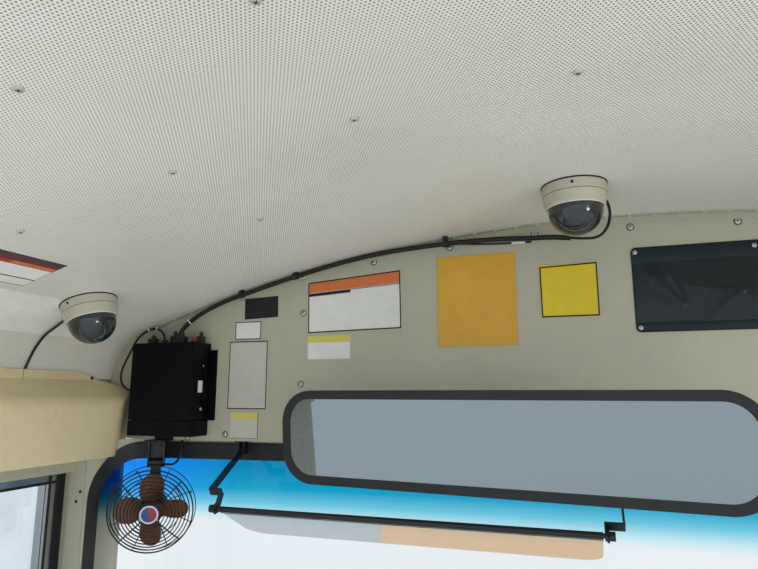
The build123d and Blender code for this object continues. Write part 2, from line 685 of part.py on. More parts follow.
def dome_ball(front):
    """Radius of the ball whose cap is the wire dome."""
    rise = FAN_DOME if front else FAN_BACK
    return (FAN_R**2 + rise**2) / (2 * rise)


def dome_height(r, front=True):
    """Height of the wire dome at a radius, front or back."""
    ball = dome_ball(front)
    fall = ball - sqrt(ball**2 - r**2)
    return FAN_RIM_Z[0] + FAN_DOME - fall if front else FAN_RIM_Z[1] - FAN_BACK + fall


def wire_ring(r, front=True):
    """Ring welded just inside the ribs."""
    hoop = Cylinder(r + FAN_WIRE / 2, FAN_WIRE) - Cylinder(r - FAN_WIRE / 2, FAN_WIRE)
    return Pos(0, 0, dome_height(r, front) + (-FAN_SET if front else FAN_SET)) * hoop


def guard_rib(r0, front):
    """Bent strip from an inner ring out to the rim."""
    ball, r1 = dome_ball(front), FAN_R - FAN_WIRE / 2
    top = dome_height(0.0, front)
    centre = top - ball if front else top + ball
    band = Pos(0, centre) * (Circle(ball + FAN_WIRE / 2) - Circle(ball - FAN_WIRE / 2))
    low, high = sorted((dome_height(r0, front), dome_height(r1, front)))
    field = Rectangle(r1 - r0, high - low + 4 * FAN_WIRE)
    strip = band & (Pos((r0 + r1) / 2, (low + high) / 2) * field)
    return extrude(Plane.XZ * strip, FAN_WIRE / 2, both=True)


def fan_guard():
    """Front and back domes of rings and ribs, joined at the rim."""
    rim_r = FAN_R - FAN_WIRE / 2
    back_r = FAN_MOTOR_R + FAN_WIRE / 2 + SEAT_GAP
    front_r = FAN_BADGE_R + FAN_WIRE / 2 + SEAT_GAP
    wires = [wire_ring(rim_r), wire_ring(rim_r, False), wire_ring(back_r, False), wire_ring(front_r)]
    wires += [wire_ring(r) for r in FAN_RINGS]
    for count, r0, front in ((FAN_RIBS, front_r, True), (FAN_BACK_RIBS, back_r, False)):
        rib = guard_rib(r0, front)
        wires += [Rot(0, 0, 360.0 / count * (i + 0.5)) * rib for i in range(count)]
    high, low = dome_height(rim_r) - FAN_SET, dome_height(rim_r, False) + FAN_SET
    post = Pos(rim_r, 0, (high + low) / 2) * Box(0.7 * FAN_WIRE, 0.7 * FAN_WIRE, high - low)
    wires += [Rot(0, 0, 360.0 / FAN_BACK_RIBS * (i + 0.5)) * post for i in range(FAN_BACK_RIBS)]
    whole = wires[0].fuse(*wires[1:])
    return fan_plane().location * whole


def fan_badge():
    disc = Pos(0, 0, dome_height(FAN_BADGE_R)) * Cylinder(FAN_BADGE_R, 6.0)
    return fan_plane().location * chamfer(disc.edges().group_by(Axis.Z)[-1], 1.5)


def fan_pivot():
    """Centre of the tilt bolt above the motor, turned so that x lies along the bolt."""
    plane = fan_plane()
    at = (plane.location * Pos(0, 0, FAN_MOTOR_Z - FAN_MOTOR_L / 2)).position
    turn = degrees(atan2(plane.x_dir.Y, plane.x_dir.X))
    return Pos(at.X, at.Y, FAN_PIVOT_Z) * Rot(0, 0, turn)


def fan_motor():
    """Motor can with the neck that rises to the tilt bolt."""
    can = Pos(0, 0, FAN_MOTOR_Z - FAN_MOTOR_L / 2) * Cylinder(FAN_MOTOR_R, FAN_MOTOR_L)
    can = fan_plane().location * chamfer(can.edges().group_by(Axis.Z)[0], 5.0)
    drop = FAN_PIVOT_Z - FAN_AT[2]
    neck = Pos(0, 0, -drop / 2) * Box(*FAN_NECK, drop)
    boss = Rot(0, 90, 0) * Cylinder(FAN_EAR_R - 2.0, FAN_WEB_W - 2 * FAN_YOKE_T - 2 * SEAT_GAP)
    pin = Rot(0, 90, 0) * Cylinder(PIN_R, FAN_WEB_W)
    hole = Pos(0, 0, FAN_MOTOR_Z) * Cylinder(FAN_SHAFT_R + PIN_GAP, 24.0)
    return can + fan_pivot() * (neck + boss + pin) - fan_plane().location * hole


def fan_bracket():
    """Angle on the header's lip, with a web that hangs from it and clamps the tilt bolt."""
    pivot = fan_pivot()
    x, y = pivot.position.X, pivot.position.Y
    high = LIP_Z - 3.0
    half = FAN_WEB_W / 2 + 7.0
    whole = block((x - half, x + half), (HEADER_Y - 3, HEADER_Y), (high, LIP_Z + 10))
    whole += block((x - half, x + half), (y - 14, HEADER_Y), (high, high + 3))
    rise = high + 1.0 - FAN_PIVOT_Z
    hung = Pos(0, FAN_WEB_Y, rise / 2) * Box(FAN_WEB_W, FAN_YOKE_T, rise)
    for side in (-1, 1):
        ear = Pos(0, 0, rise / 2) * Box(FAN_YOKE_T, 2 * FAN_EAR_R, rise)
        ear += Rot(0, 90, 0) * Cylinder(FAN_EAR_R, FAN_YOKE_T)
        hung += Pos(side * (FAN_WEB_W - FAN_YOKE_T) / 2, 0, 0) * ear
    hole = Rot(0, 90, 0) * Cylinder(PIN_R + PIN_GAP, 60.0)
    return whole + pivot * hung - pivot * hole


def fan_blade():
    """Petal cut from a twisted, lofted slab."""
    sections = []
    for y, pitch in ((FAN_HUB_R - 3.0, 36.0), (50.0, 26.0), (FAN_BLADE_R, 16.0)):
        plane = Plane(origin=(0, y, 0), x_dir=(1, 0, 0), z_dir=(0, 1, 0))
        sections.append(plane * Rot(0, 0, pitch) * Rectangle(FAN_BLADE_W + 20.0, FAN_BLADE_T))
    petal = Pos(0, FAN_BLADE_R - 30.0) * Rot(0, 0, 90) * SlotOverall(60.0, FAN_BLADE_W)
    petal += Pos(0, FAN_HUB_R + 6.0) * Rectangle(FAN_BLADE_W / 2, 20.0)
    return loft(sections) & extrude(petal, 30.0, both=True)


def fan_rotor():
    """Hub on its shaft with its blades."""
    hub = Cylinder(FAN_HUB_R, 20.0)
    hub = chamfer(hub.edges().group_by(Axis.Z)[-1], 5.0)
    whole = hub + Pos(0, 0, -16.0) * Cylinder(FAN_SHAFT_R, 16.0)
    blade = fan_blade()
    for i in range(FAN_BLADES):
        whole += Rot(0, 0, 360.0 / FAN_BLADES * i) * blade
    return fan_plane().location * whole


# Dome cameras
def ceiling_place(x, y):
    """Frame on the ceiling, z pointing down out of it."""
    lean = asin(x / ROOF_R)
    z = APEX_Z - ROOF_R + sqrt(ROOF_R**2 - x**2)
    return Location((x, y, z), (0, degrees(lean), 0)) * Rot(180, 0, 0)


def turned(*points):
    """Solid of revolution from a half outline of (radius, height)."""
    return revolve(Plane.XZ * Polygon(*points, align=None), Axis.Z)


def camera_parts(x, y):
    """Base ring, shell ring, dome and the lens barrel inside, hung on the ceiling."""
    seam = CAMERA_SEAT + CAMERA_BASE_H
    low, lip = seam + 1.0, CAMERA_SHELL_LOW
    bore = CAMERA_DOME_R + 0.6
    base = turned((0, CAMERA_SEAT), (CAMERA_R, CAMERA_SEAT), (CAMERA_R - 1.0, seam), (0, seam))
    base += Pos(0, 0, (seam + low) / 2) * Cylinder(CAMERA_DOME_R, low - seam)
    shell = turned(
        (bore, low), (CAMERA_R - 1.5, low), (CAMERA_R - CAMERA_TAPER, lip - 3.0), (bore + 1.9, lip), (bore, lip)
    )
    skirt = Pos(0, 0, (low + CAMERA_DOME_Z) / 2) * Cylinder(CAMERA_DOME_R, CAMERA_DOME_Z - low)
    ball = Sphere(CAMERA_DOME_R) & (Pos(0, 0, CAMERA_R) * Box(2 * CAMERA_R, 2 * CAMERA_R, 2 * CAMERA_R))
    room = turned((0, low - 1.0), (39.0, low - 1.0), (39.0, 52.0), (34.0, 62.0), (26.0, 72.0), (14.0, 79.0), (0, 81.0))
    dome = skirt + Pos(0, 0, CAMERA_DOME_Z) * ball - room
    eye = Pos(0, 0, low + 3.0) * Cylinder(30.0, 6.0)
    eye += Pos(0, 0, (low + CAMERA_DOME_Z) / 2) * Cylinder(9.0, CAMERA_DOME_Z - low)
    eye += Pos(0, 0, CAMERA_DOME_Z) * Rot(-35, 0, 0) * Cylinder(CAMERA_EYE_R, 40.0)
    eye -= Pos(0, 0, low - CAMERA_R) * Box(2 * CAMERA_R, 2 * CAMERA_R, 2 * CAMERA_R)
    place = ceiling_place(x, y)
    return [place * piece for piece in (base, shell, dome, eye)]


# Recorder
def recorder_parts():
    x0, x1 = RECORDER_X
    z0, z1 = RECORDER_Z
    face_y = (HEADER_Y - RECORDER_D, HEADER_Y - RECORDER_PLATE)
    body = block((x0, x1), face_y, (z0 + RECORDER_FLAP, z1))
    body = chamfer(body.edges().filter_by(Axis.Y), 2.0)
    flap = block((x0, x1), face_y, (z0, z0 + RECORDER_FLAP - 1.0))
    plate = block((x0 + 20, x1 + 17), (HEADER_Y - RECORDER_PLATE, HEADER_Y), (z0 + 33, z1 - 15))
    plate += block((x1 + SEAT_GAP, x1 + RECORDER_PLATE), (HEADER_Y - 30, HEADER_Y), (z0 + 60, z1 - 40))
    return body, flap, plate


def document_pouch():
    """Flat holder with a hem along its top."""
    wide, high = POUCH_X[1] - POUCH_X[0], POUCH_Z[1] - POUCH_Z[0]
    place = Pos((POUCH_X[0] + POUCH_X[1]) / 2, (POUCH_Z[0] + POUCH_Z[1]) / 2)
    return slab_xz(place * RectangleRounded(wide, high, POUCH_R), HEADER_Y, HEADER_Y - POUCH_T)


# Cords
def cord(points, size):
    """Tube along straight runs joined by tangent arcs, with its radii."""
    spots = [Vector(*p) for p in points]
    radii = []
    for a, b, c in zip(spots, spots[1:], spots[2:]):
        turn = radians((b - a).get_angle(c - b))
        run = min((b - a).length, (c - b).length)
        radii.append(0.45 * run / tan(turn / 2))
    path = FilletPolyline(*spots, radius=radii)
    face = Plane(origin=path @ 0, z_dir=path % 0) * Circle(size / 2)
    tube = sweep(face, path=path)
    share = tube.volume / (pi * size**2 / 4 * path.length)
    print("cord", round(path.length), "mm, volume share", round(share, 3), "least radius", round(min(radii), 1))
    return tube


def under_arch(x, y, drop):
    """A point below the ceiling by a drop."""
    return (x, y, APEX_Z - ROOF_R + sqrt(ROOF_R**2 - x**2) - drop)


HARNESS = [
    (-942.0, -118.0, 1151.3),
    (-941.0, -117.0, 1170.0),
    (-929.0, -114.0, 1190.0),
    (-900.0, -113.0, 1212.0),
    (-862.0, -113.0, 1231.0),
    under_arch(-812.0, -113.0, 11.0),
    under_arch(-752.0, -113.0, 11.2),
    under_arch(-685.0, -113.0, 9.7),
    under_arch(-610.0, -113.0, 8.3),
    under_arch(-530.0, -113.0, 6.8),
    under_arch(-440.0, -113.0, 8.1),
    under_arch(-350.0, -113.0, 13.5),
    under_arch(-270.0, -113.0, 18.8),
    under_arch(-205.0, -112.0, 23.5),
    under_arch(-150.0, -113.0, 30.2),
    under_arch(-100.0, -116.0, 34.3),
    under_arch(-66.0, -122.0, 41.3),
]
CAMERA_RIGHT_LEAD = [
    (-65.5, -122.1, 1329.9),
    (-45.0, -125.7, 1326.3),
    (-25.0, -150.0, 1319.0),
    (-12.0, -185.0, 1316.0),
    (-2.0, -215.0, 1324.0),
    (1.0, -236.0, 1340.0),
    (-3.0, -250.0, 1355.0),
    (-10.0, -258.0, 1362.0),
    (-18.6, -268.2, 1363.0),
]
CAMERA_LEFT_LEAD = [
    (-1014.5, -364.0, 1188.5),
    (-1036.0, -357.0, 1181.0),
    (-1070.0, -347.0, 1168.0),
    (-1102.0, -339.0, 1155.8),
    (-1128.2, -335.0, 1130.0),
    (-1141.3, -336.0, 1104.0),
    (-1144.5, -339.0, 1087.6),
]
RECORDER_LEAD = [
    (-975.0, -122.0, 1151.3),
    (-977.0, -121.0, 1168.0),
    (-990.0, -119.0, 1184.0),
    (-1012.0, -118.0, 1189.0),
    (-1036.0, -118.0, 1181.0),
    (-1056.0, -119.0, 1165.0),
    (-1070.0, -120.0, 1138.0),
    (-1084.0, -121.0, 1112.0),
    (-1094.0, -122.0, 1086.0),
    (-1090.0, -124.0, 1062.0),
    (-1068.0, -126.0, 1046.0),
    (-1037.3, -126.0, 1042.0),
]
SIGNAL_LEAD = [
    (-318.0, -100.0, 1351.8),
    (-314.0, -100.5, 1346.0),
    (-300.0, -101.0, 1342.0),
    (-262.0, -101.5, 1338.0),
    (-220.0, -102.0, 1335.0),
    (-178.0, -102.0, 1333.5),
    (-140.0, -102.5, 1333.0),
]
FAN_LEAD = [
    (-938.0, -87.0, 933.1),
    (-936.0, -90.0, 919.0),
    (-934.0, -94.0, 902.0),
    (-940.0, -97.0, 887.0),
    (-953.0, -96.0, 879.0),
    (-969.0, -103.7, 880.0),
]


def harness_clips():
    """Clips that hold the harness up to the ceiling, each on the middle of a run."""
    clips = []
    outer = HARNESS_D / 2 + CLIP_GAP + CLIP_T
    for run in CLIP_RUNS:
        a, b = Vector(*HARNESS[run]), Vector(*HARNESS[run + 1])
        mid = (a + b) / 2
        band = Plane(origin=mid, x_dir=(0, 1, 0), z_dir=(b - a).normalized()).location
        tab = Pos(0, 0, outer) * Box(CLIP_W, CLIP_W, 2 * outer)
        clip = band * Cylinder(outer, CLIP_W) + Pos(*mid) * tab - band * Cylinder(outer - CLIP_T, 2 * CLIP_W)
        clips.append(clip & slab_xz(arch(-SEAT_GAP, 0.0, 0.0), HEADER_Y, SPLIT_Y))
    return clips


def build():
    save("roof_skin", roof_skin())
    save("headliner_panel", headliner_panel())
    save("front_cap", front_cap())
    save("header_panel", header_panel())
    save("header_seam_strip", header_seam_strip())
    save("windshield_glass", windshield_glass())
    save("windshield_gasket", windshield_gasket())
    save("windshield_frame", windshield_frame())
    save("windshield_trim", windshield_trim())
    save("cowl_rail", cowl_rail())
    for name, piece in (("a_pillar", a_pillar()), ("a_pillar_cover", a_pillar_cover()), ("side_cover", side_cover())):
        right, left = both_sides(piece)
        save(f"{name}_right", right)
        save(f"{name}_left", left)
    save("driver_side_wall", driver_side_wall())
    save("door_side_wall", door_side_wall())
    frame, panes = driver_window()
    save("driver_window_frame", frame)
    save("driver_window_panes", *panes)
    save("window_head_strip", window_head_strip())
    save("lamp_boards", *lamp_boards())
    for colour, x in LAMP_X.items():
        save(f"warning_lamps_{colour}", *warning_lamps(x))
    save("marker_lamps", *marker_lamps())
    save("drip_rails", *both_sides(drip_rail()))
    shell, rim, glass = mirror_parts()
    save("mirror_housing", shell)
    save("mirror_rim", rim)
    save("mirror_glass", glass)
    save("mirror_brackets", mirror_bracket(-1), mirror_bracket(1))
    save("visor_arms", visor_arm(-1), visor_arm(1))
    save("visor_rod", visor_rod())
    save("visor_brackets", visor_bracket(-1), visor_bracket(1))
    clamp, smoked, tinted = visor_panel_parts()
    save("visor_clamp", clamp)
    save("visor_smoked_panel", smoked)
    save("visor_tinted_panel", tinted)
    save("fan_guard", fan_guard())
    save("fan_badge", fan_badge())
    save("fan_motor", fan_motor())
    save("fan_bracket", fan_bracket())
    save("fan_rotor", fan_rotor())
    for side, (x, y) in CAMERA_SPOTS.items():
        for name, piece in zip(("base", "shell", "dome", "eye"), camera_parts(x, y)):
            save(f"camera_{side}_{name}", piece)
    body, flap, bracket = recorder_parts()
    save("recorder_body", body)
    save("recorder_flap", flap)
    save("recorder_bracket", bracket)
    save("document_pouch", document_pouch())
    for name, (xs, zs) in SIGNS.items():
        save(name, block(xs, (HEADER_Y - SIGN_T, HEADER_Y), zs))
    save("main_harness", cord(HARNESS, HARNESS_D))
    save("harness_clips", *harness_clips())
    save("camera_leads", cord(CAMERA_RIGHT_LEAD, LEAD_D), cord(CAMERA_LEFT_LEAD, LEAD_D))
    leads = [cord(RECORDER_LEAD, LEAD_D), cord(SIGNAL_LEAD, THIN_LEAD_D), cord(FAN_LEAD, LEAD_D)]
    save("device_leads", *leads)


build()
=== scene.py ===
"""Looks of a school bus front overhead section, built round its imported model. Metres."""
import json
from math import asin, cos, hypot, pi, radians, sin, sqrt

import bmesh
import bpy
from mathutils import Matrix, Vector


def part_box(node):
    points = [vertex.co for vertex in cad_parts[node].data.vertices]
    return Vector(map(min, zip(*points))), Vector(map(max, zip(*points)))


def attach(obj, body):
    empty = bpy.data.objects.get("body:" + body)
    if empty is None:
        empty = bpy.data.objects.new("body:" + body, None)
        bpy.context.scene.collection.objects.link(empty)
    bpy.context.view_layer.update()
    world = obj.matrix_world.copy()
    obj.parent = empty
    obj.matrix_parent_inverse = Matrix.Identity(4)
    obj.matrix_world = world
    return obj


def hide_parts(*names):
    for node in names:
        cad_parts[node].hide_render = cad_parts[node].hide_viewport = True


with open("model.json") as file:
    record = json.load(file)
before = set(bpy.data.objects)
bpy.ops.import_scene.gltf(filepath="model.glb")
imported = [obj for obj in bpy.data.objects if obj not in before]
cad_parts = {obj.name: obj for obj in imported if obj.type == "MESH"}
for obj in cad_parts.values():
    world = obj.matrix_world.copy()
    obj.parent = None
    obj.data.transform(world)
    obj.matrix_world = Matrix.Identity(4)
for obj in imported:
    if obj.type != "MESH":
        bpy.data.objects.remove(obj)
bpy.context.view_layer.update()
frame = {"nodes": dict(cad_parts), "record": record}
NODES = frame["nodes"]

# The camera fitted to the photograph
CAMERA_AT = (-0.062, -1.290, 1.040)
CAMERA_PITCH = 10.2
CAMERA_YAW = 18.4
CAMERA_LENS = 28.5
SENSOR_WIDTH = 36.0
NEAREST = 0.02

# Places that everything is worked out from
ROOF_R = 3.0
SHOULDER_R = 0.105
ROOF_T = 0.050
LINER_T = 0.004
HOLE_PITCH = 0.00425
HOLE_R = 0.00095
LINER_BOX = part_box("headliner_panel")
HEADER_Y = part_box("header_seam_strip")[1].y
REAR_Y = LINER_BOX[0].y
SPLIT_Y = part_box("roof_skin")[1].y
APEX_Z = LINER_BOX[1].z - LINER_T
EAVE_Z = LINER_BOX[0].z
INNER_HALF = -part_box("driver_side_wall")[1].x


def srgb(r, g, b):
    """Linear colour, with alpha, of an 8-bit screen colour."""
    channels = []
    for c in (r, g, b):
        c = c / 255
        channels.append(c / 12.92 if c <= 0.04045 else ((c + 0.055) / 1.055) ** 2.4)
    return (*channels, 1.0)


# Shader building
class Finish:
    """A Principled material and the nodes that vary it."""

    LIGHTER = 0.06
    ROUGH_SPAN = 0.08

    def __init__(self, name, colour, rough, **sockets):
        self.material = bpy.data.materials.new(name)
        self.material.use_nodes = True
        self.tree = self.material.node_tree
        self.shader = next(n for n in self.tree.nodes if n.type == "BSDF_PRINCIPLED")
        self.colour = colour
        self.shader.inputs["Base Color"].default_value = colour
        self.shader.inputs["Roughness"].default_value = rough
        for key, value in sockets.items():
            self.shader.inputs[key.replace("_", " ").title().replace("Ior", "IOR")].default_value = value

    def feed(self, socket, value):
        """Link a socket, or give it a value."""
        if isinstance(value, bpy.types.NodeSocket):
            self.tree.links.new(value, socket)
        else:
            socket.default_value = value

    def node(self, kind, inputs, **settings):
        """A node with its settings, fed by the name or number of each input."""
        made = self.tree.nodes.new("ShaderNode" + kind)
        for key, value in settings.items():
            setattr(made, key, value)
        for key, value in inputs.items():
            self.feed(made.inputs[key], value)
        return made

    def place(self, space="Object", scale=(1, 1, 1)):
        """Coordinates in metres, stretched by a scale."""
        spot = self.node("TexCoord", {}).outputs[space]
        return self.node("Mapping", {"Scale": scale, "Vector": spot}).outputs["Vector"]

    def axes(self, vector):
        return self.node("SeparateXYZ", {0: vector}).outputs

    def math(self, operation, *values):
        return self.node("Math", dict(enumerate(values)), operation=operation).outputs[0]

    def vector(self, operation, *values):
        made = self.node("VectorMath", dict(enumerate(values)), operation=operation)
        return made.outputs["Value" if operation in ("LENGTH", "DOT_PRODUCT") else "Vector"]

    def noise(self, scale, detail):
        inputs = {"Scale": scale, "Detail": detail, "Vector": self.place()}
        return self.node("TexNoise", inputs).outputs["Fac"]

    def span(self, value, low, high, to_low=0.0, to_high=1.0):
        """A value's place between two limits, brought between two others."""
        return self.node("MapRange", dict(enumerate((value, low, high, to_low, to_high)))).outputs[0]

    def mix(self, share, a, b):
        return self.node("Mix", {0: share, 6: a, 7: b}, data_type="RGBA").outputs[2]

    def ramp(self, share, stops):
        made = self.node("ValToRGB", {0: share})
        elements = made.color_ramp.elements
        while len(elements) < len(stops):
            elements.new(0.5)
        for element, (place, colour) in zip(elements, stops):
            element.position = place
            element.color = colour
        return made.outputs[0]

    def paint(self, colour):
        self.feed(self.shader.inputs["Base Color"], colour)

    def shine(self, value):
        self.feed(self.shader.inputs["Roughness"], value)

    def bump(self, height, distance, strength=1.0):
        """Relief of a real depth in metres."""
        made = self.node("Bump", {"Distance": distance, "Strength": strength, "Height": height})
        self.feed(self.shader.inputs["Normal"], made.outputs[0])

    def weather(self, dark=0.12, blotch=5.0, grain=0.0, grain_scale=700.0):
        """Uneven tone, uneven gloss and a fine grain."""
        coarse = self.noise(blotch, 5.0)
        fine = self.noise(blotch * 9, 4.0)
        both = self.math("MULTIPLY_ADD", fine, 0.35, self.math("MULTIPLY", coarse, 0.65))
        low = tuple(c * (1 - dark) for c in self.colour[:3]) + (1.0,)
        high = tuple(min(1.0, c * (1 + self.LIGHTER)) for c in self.colour[:3]) + (1.0,)
        self.paint(self.mix(self.span(both, 0.32, 0.68), low, high))
        middle = self.shader.inputs["Roughness"].default_value
        self.shine(self.span(fine, 0.3, 0.7, middle - self.ROUGH_SPAN, middle + self.ROUGH_SPAN))
        if grain:
            self.bump(self.noise(grain_scale, 3.0), grain)
        return self


def plain(name, colour, rough, uneven=None, sockets=None):
    """A finish of one 8-bit screen colour, made uneven."""
    return Finish(name, srgb(*colour), rough, **(sockets or {})).weather(**(uneven or {})).material


# Paint
YELLOW = srgb(236, 158, 12)
YELLOW_LOW = srgb(226, 147, 10)
YELLOW_HIGH = srgb(240, 164, 16)
CREAM_LOW = srgb(172, 170, 150)
CREAM_HIGH = srgb(184, 182, 163)
PAINT_ROUGH = 0.28
PAINT_COAT = dict(coat_weight=0.5, coat_roughness=0.12)
PAINT_RELIEF = 0.00012
# The side walls are cream up to this distance from the middle plane
CREAM_HALF = INNER_HALF + 0.035
# The shell's outer faces look away from this point
SHELL_MIDDLE = (0.0, -0.6, 0.9)


def yellow_finish(name):
    """Yellow paint, the blotches in it and the tone they give."""
    finish = Finish(name, YELLOW, PAINT_ROUGH, **PAINT_COAT)
    finish.bump(finish.noise(220.0, 2.0), PAINT_RELIEF)
    blotch = finish.span(finish.noise(4.0, 5.0), 0.35, 0.65)
    return finish, blotch, finish.mix(blotch, YELLOW_LOW, YELLOW_HIGH)


def two_sided_paint(name):
    """Yellow outside and cream inside, by the distance from the middle plane."""
    finish, blotch, yellow = yellow_finish(name)
    x = finish.axes(finish.place())[0]
    inside = finish.math("LESS_THAN", finish.math("ABSOLUTE", x), CREAM_HALF)
    finish.paint(finish.mix(inside, yellow, finish.mix(blotch, CREAM_LOW, CREAM_HIGH)))
    finish.shine(finish.span(finish.noise(60.0, 4.0), 0.3, 0.7, 0.22, 0.36))
    return finish.material


def shell_finish(name):
    """Yellow on faces that look outwards, cream on those that look in."""
    finish, _, yellow = yellow_finish(name)
    face = finish.node("NewGeometry", {}).outputs
    away = finish.vector("SUBTRACT", face["Position"], SHELL_MIDDLE)
    inside = finish.math("LESS_THAN", finish.vector("DOT_PRODUCT", away, face["True Normal"]), 0.0)
    finish.paint(finish.mix(inside, yellow, CREAM_LOW))
    return finish.material


# Perforated headliner
LINER = srgb(236, 235, 226)
LINER_LOW = srgb(231, 230, 220)
LINER_HIGH = srgb(241, 240, 232)
# Grey of the holes: painted shade of the space behind the sheet
HOLE_SHADE = srgb(116, 116, 108)
HOLE_DEPTH = 0.0004
# Pitches between two rows that stand alike
ROW_RATIO = sqrt(3)


def liner_finish(name):
    """Cream enamel with rows of small holes, staggered at 60 degrees; the grey of the holes is painted
    shade.
    """
    finish = Finish(name, LINER, 0.42)
    cell = finish.place("UV", (1 / HOLE_PITCH, 1 / (HOLE_PITCH * ROW_RATIO), 0))
    holes = []
    for shift in ((0.0, 0.0, 0.0), (0.5, 0.5, 0.0)):
        moved = finish.vector("FRACTION", finish.vector("ADD", cell, shift))
        centred = finish.vector("SUBTRACT", moved, (0.5, 0.5, 0.0))
        holes.append(finish.vector("LENGTH", finish.vector("MULTIPLY", centred, (1.0, ROW_RATIO, 0.0))))
    away = finish.math("MINIMUM", *holes)
    edge = HOLE_R / HOLE_PITCH
    solid = finish.span(away, edge * 0.82, edge * 1.12)
    blotch = finish.span(finish.noise(2.5, 5.0), 0.35, 0.65)
    finish.paint(finish.mix(solid, HOLE_SHADE, finish.mix(blotch, LINER_LOW, LINER_HIGH)))
    finish.bump(finish.span(away, edge * 0.8, edge * 1.5), HOLE_DEPTH, 0.6)
    return finish.material


# Shade band: heights, colours from below, and where the blue corner ends
BAND_ZS = (0.752, 0.875)
CLEAR = (0.985, 0.99, 0.995, 1)
BLUE_BAND = ((0.0, CLEAR), (0.15, (0.74, 0.94, 1, 1)), (0.36, (0.20, 0.66, 0.98, 1)),
             (0.55, (0.03, 0.40, 0.96, 1)), (1.0, (0.01, 0.28, 0.95, 1)))
TEAL_BAND = ((0.0, CLEAR), (0.15, (0.66, 0.92, 0.97, 1)), (0.36, (0.18, 0.64, 0.80, 1)),
             (0.6, (0.01, 0.40, 0.63, 1)), (1.0, (0.0, 0.26, 0.50, 1)))
CORNER_XS = (-1.0, -0.82)


def banded_glass(name):
    """Windshield glass with a shade band, bluer at the left corner."""
    finish = Finish(name, (0.9, 0.96, 0.95, 1), 0.0, transmission_weight=1.0, ior=1.25)
    x, _, z = finish.axes(finish.place())
    share = finish.span(z, *BAND_ZS)
    blue = finish.ramp(share, BLUE_BAND)
    teal = finish.ramp(share, TEAL_BAND)
    finish.paint(finish.mix(finish.span(x, *CORNER_XS), blue, teal))
    return finish.material


def window_glass(name):
    """Side glass, slightly grey."""
    finish = Finish(name, (0.80, 0.86, 0.90, 1), 0.0, transmission_weight=1.0, ior=1.45)
    smear = finish.span(finish.noise(20.0, 5.0), 0.4, 0.7)
    finish.paint(finish.mix(smear, (0.78, 0.84, 0.88, 1), (0.84, 0.90, 0.93, 1)))
    return finish.material


def dome_finish(name):
    """Smoked dome that lets the lens barrel show through."""
    finish = Finish(name, (0.014, 0.017, 0.022, 1), 0.04, coat_weight=1.0, coat_roughness=0.02, alpha=0.84)
    finish.shine(finish.span(finish.noise(60.0, 4.0), 0.3, 0.7, 0.03, 0.07))
    return finish.material


def mirror_finish(name):
    """Silvering, darker than real as painted reflection of a dim cabin, with faint smears."""
    # Dark silver colour: painted reflection of a dim cabin
    finish = Finish(name, (0.30, 0.35, 0.38, 1), 0.012, metallic=1.0)
    smear = finish.span(finish.noise(14.0, 6.0), 0.45, 0.75)
    finish.shine(finish.span(smear, 0.0, 1.0, 0.006, 0.05))
    return finish.material


def sheet_plastic(name, colour, rough, ior):
    """Clear or tinted plastic sheet."""
    finish = Finish(name, colour, rough, transmission_weight=1.0, ior=ior)
    blotch = finish.span(finish.noise(30.0, 4.0), 0.3, 0.7)
    deep = tuple(c * 0.93 for c in colour[:3]) + (1.0,)
    finish.paint(finish.mix(blotch, deep, colour))
    finish.shine(finish.span(blotch, 0.0, 1.0, rough, rough + 0.05))
    return finish.material


# Finishes with a function of their own
MADE = {
    "yellow_paint": two_sided_paint,
    "yellow_shell": shell_finish,
    "perforated_liner": liner_finish,
    "clear_glass": banded_glass,
    "window_glass": window_glass,
    "dome_smoke": dome_finish,
    "mirror_face": mirror_finish,
}
# Plastic sheets: linear colour, roughness, refraction
SHEETS = {
    "smoked_sheet": ((0.53, 0.55, 0.58, 1), 0.04, 1.2),
    # tan_sheet: the sheet is coloured tan all over; what makes the real sheet look tan is not known
    "tan_sheet": ((0.86, 0.54, 0.29, 1), 0.06, 1.2),
    "clear_vinyl": ((0.74, 0.79, 0.80, 1), 0.05, 1.24),
}
# How plain finishes are uneven or coated
GRAIN = dict(grain=0.00015, grain_scale=1400.0)
ENAMEL = dict(dark=0.07, grain=0.0001, grain_scale=260.0)
MOULDED = dict(dark=0.08, **GRAIN)
CAST = dict(blotch=30.0)
COATED = dict(coat_weight=0.5)
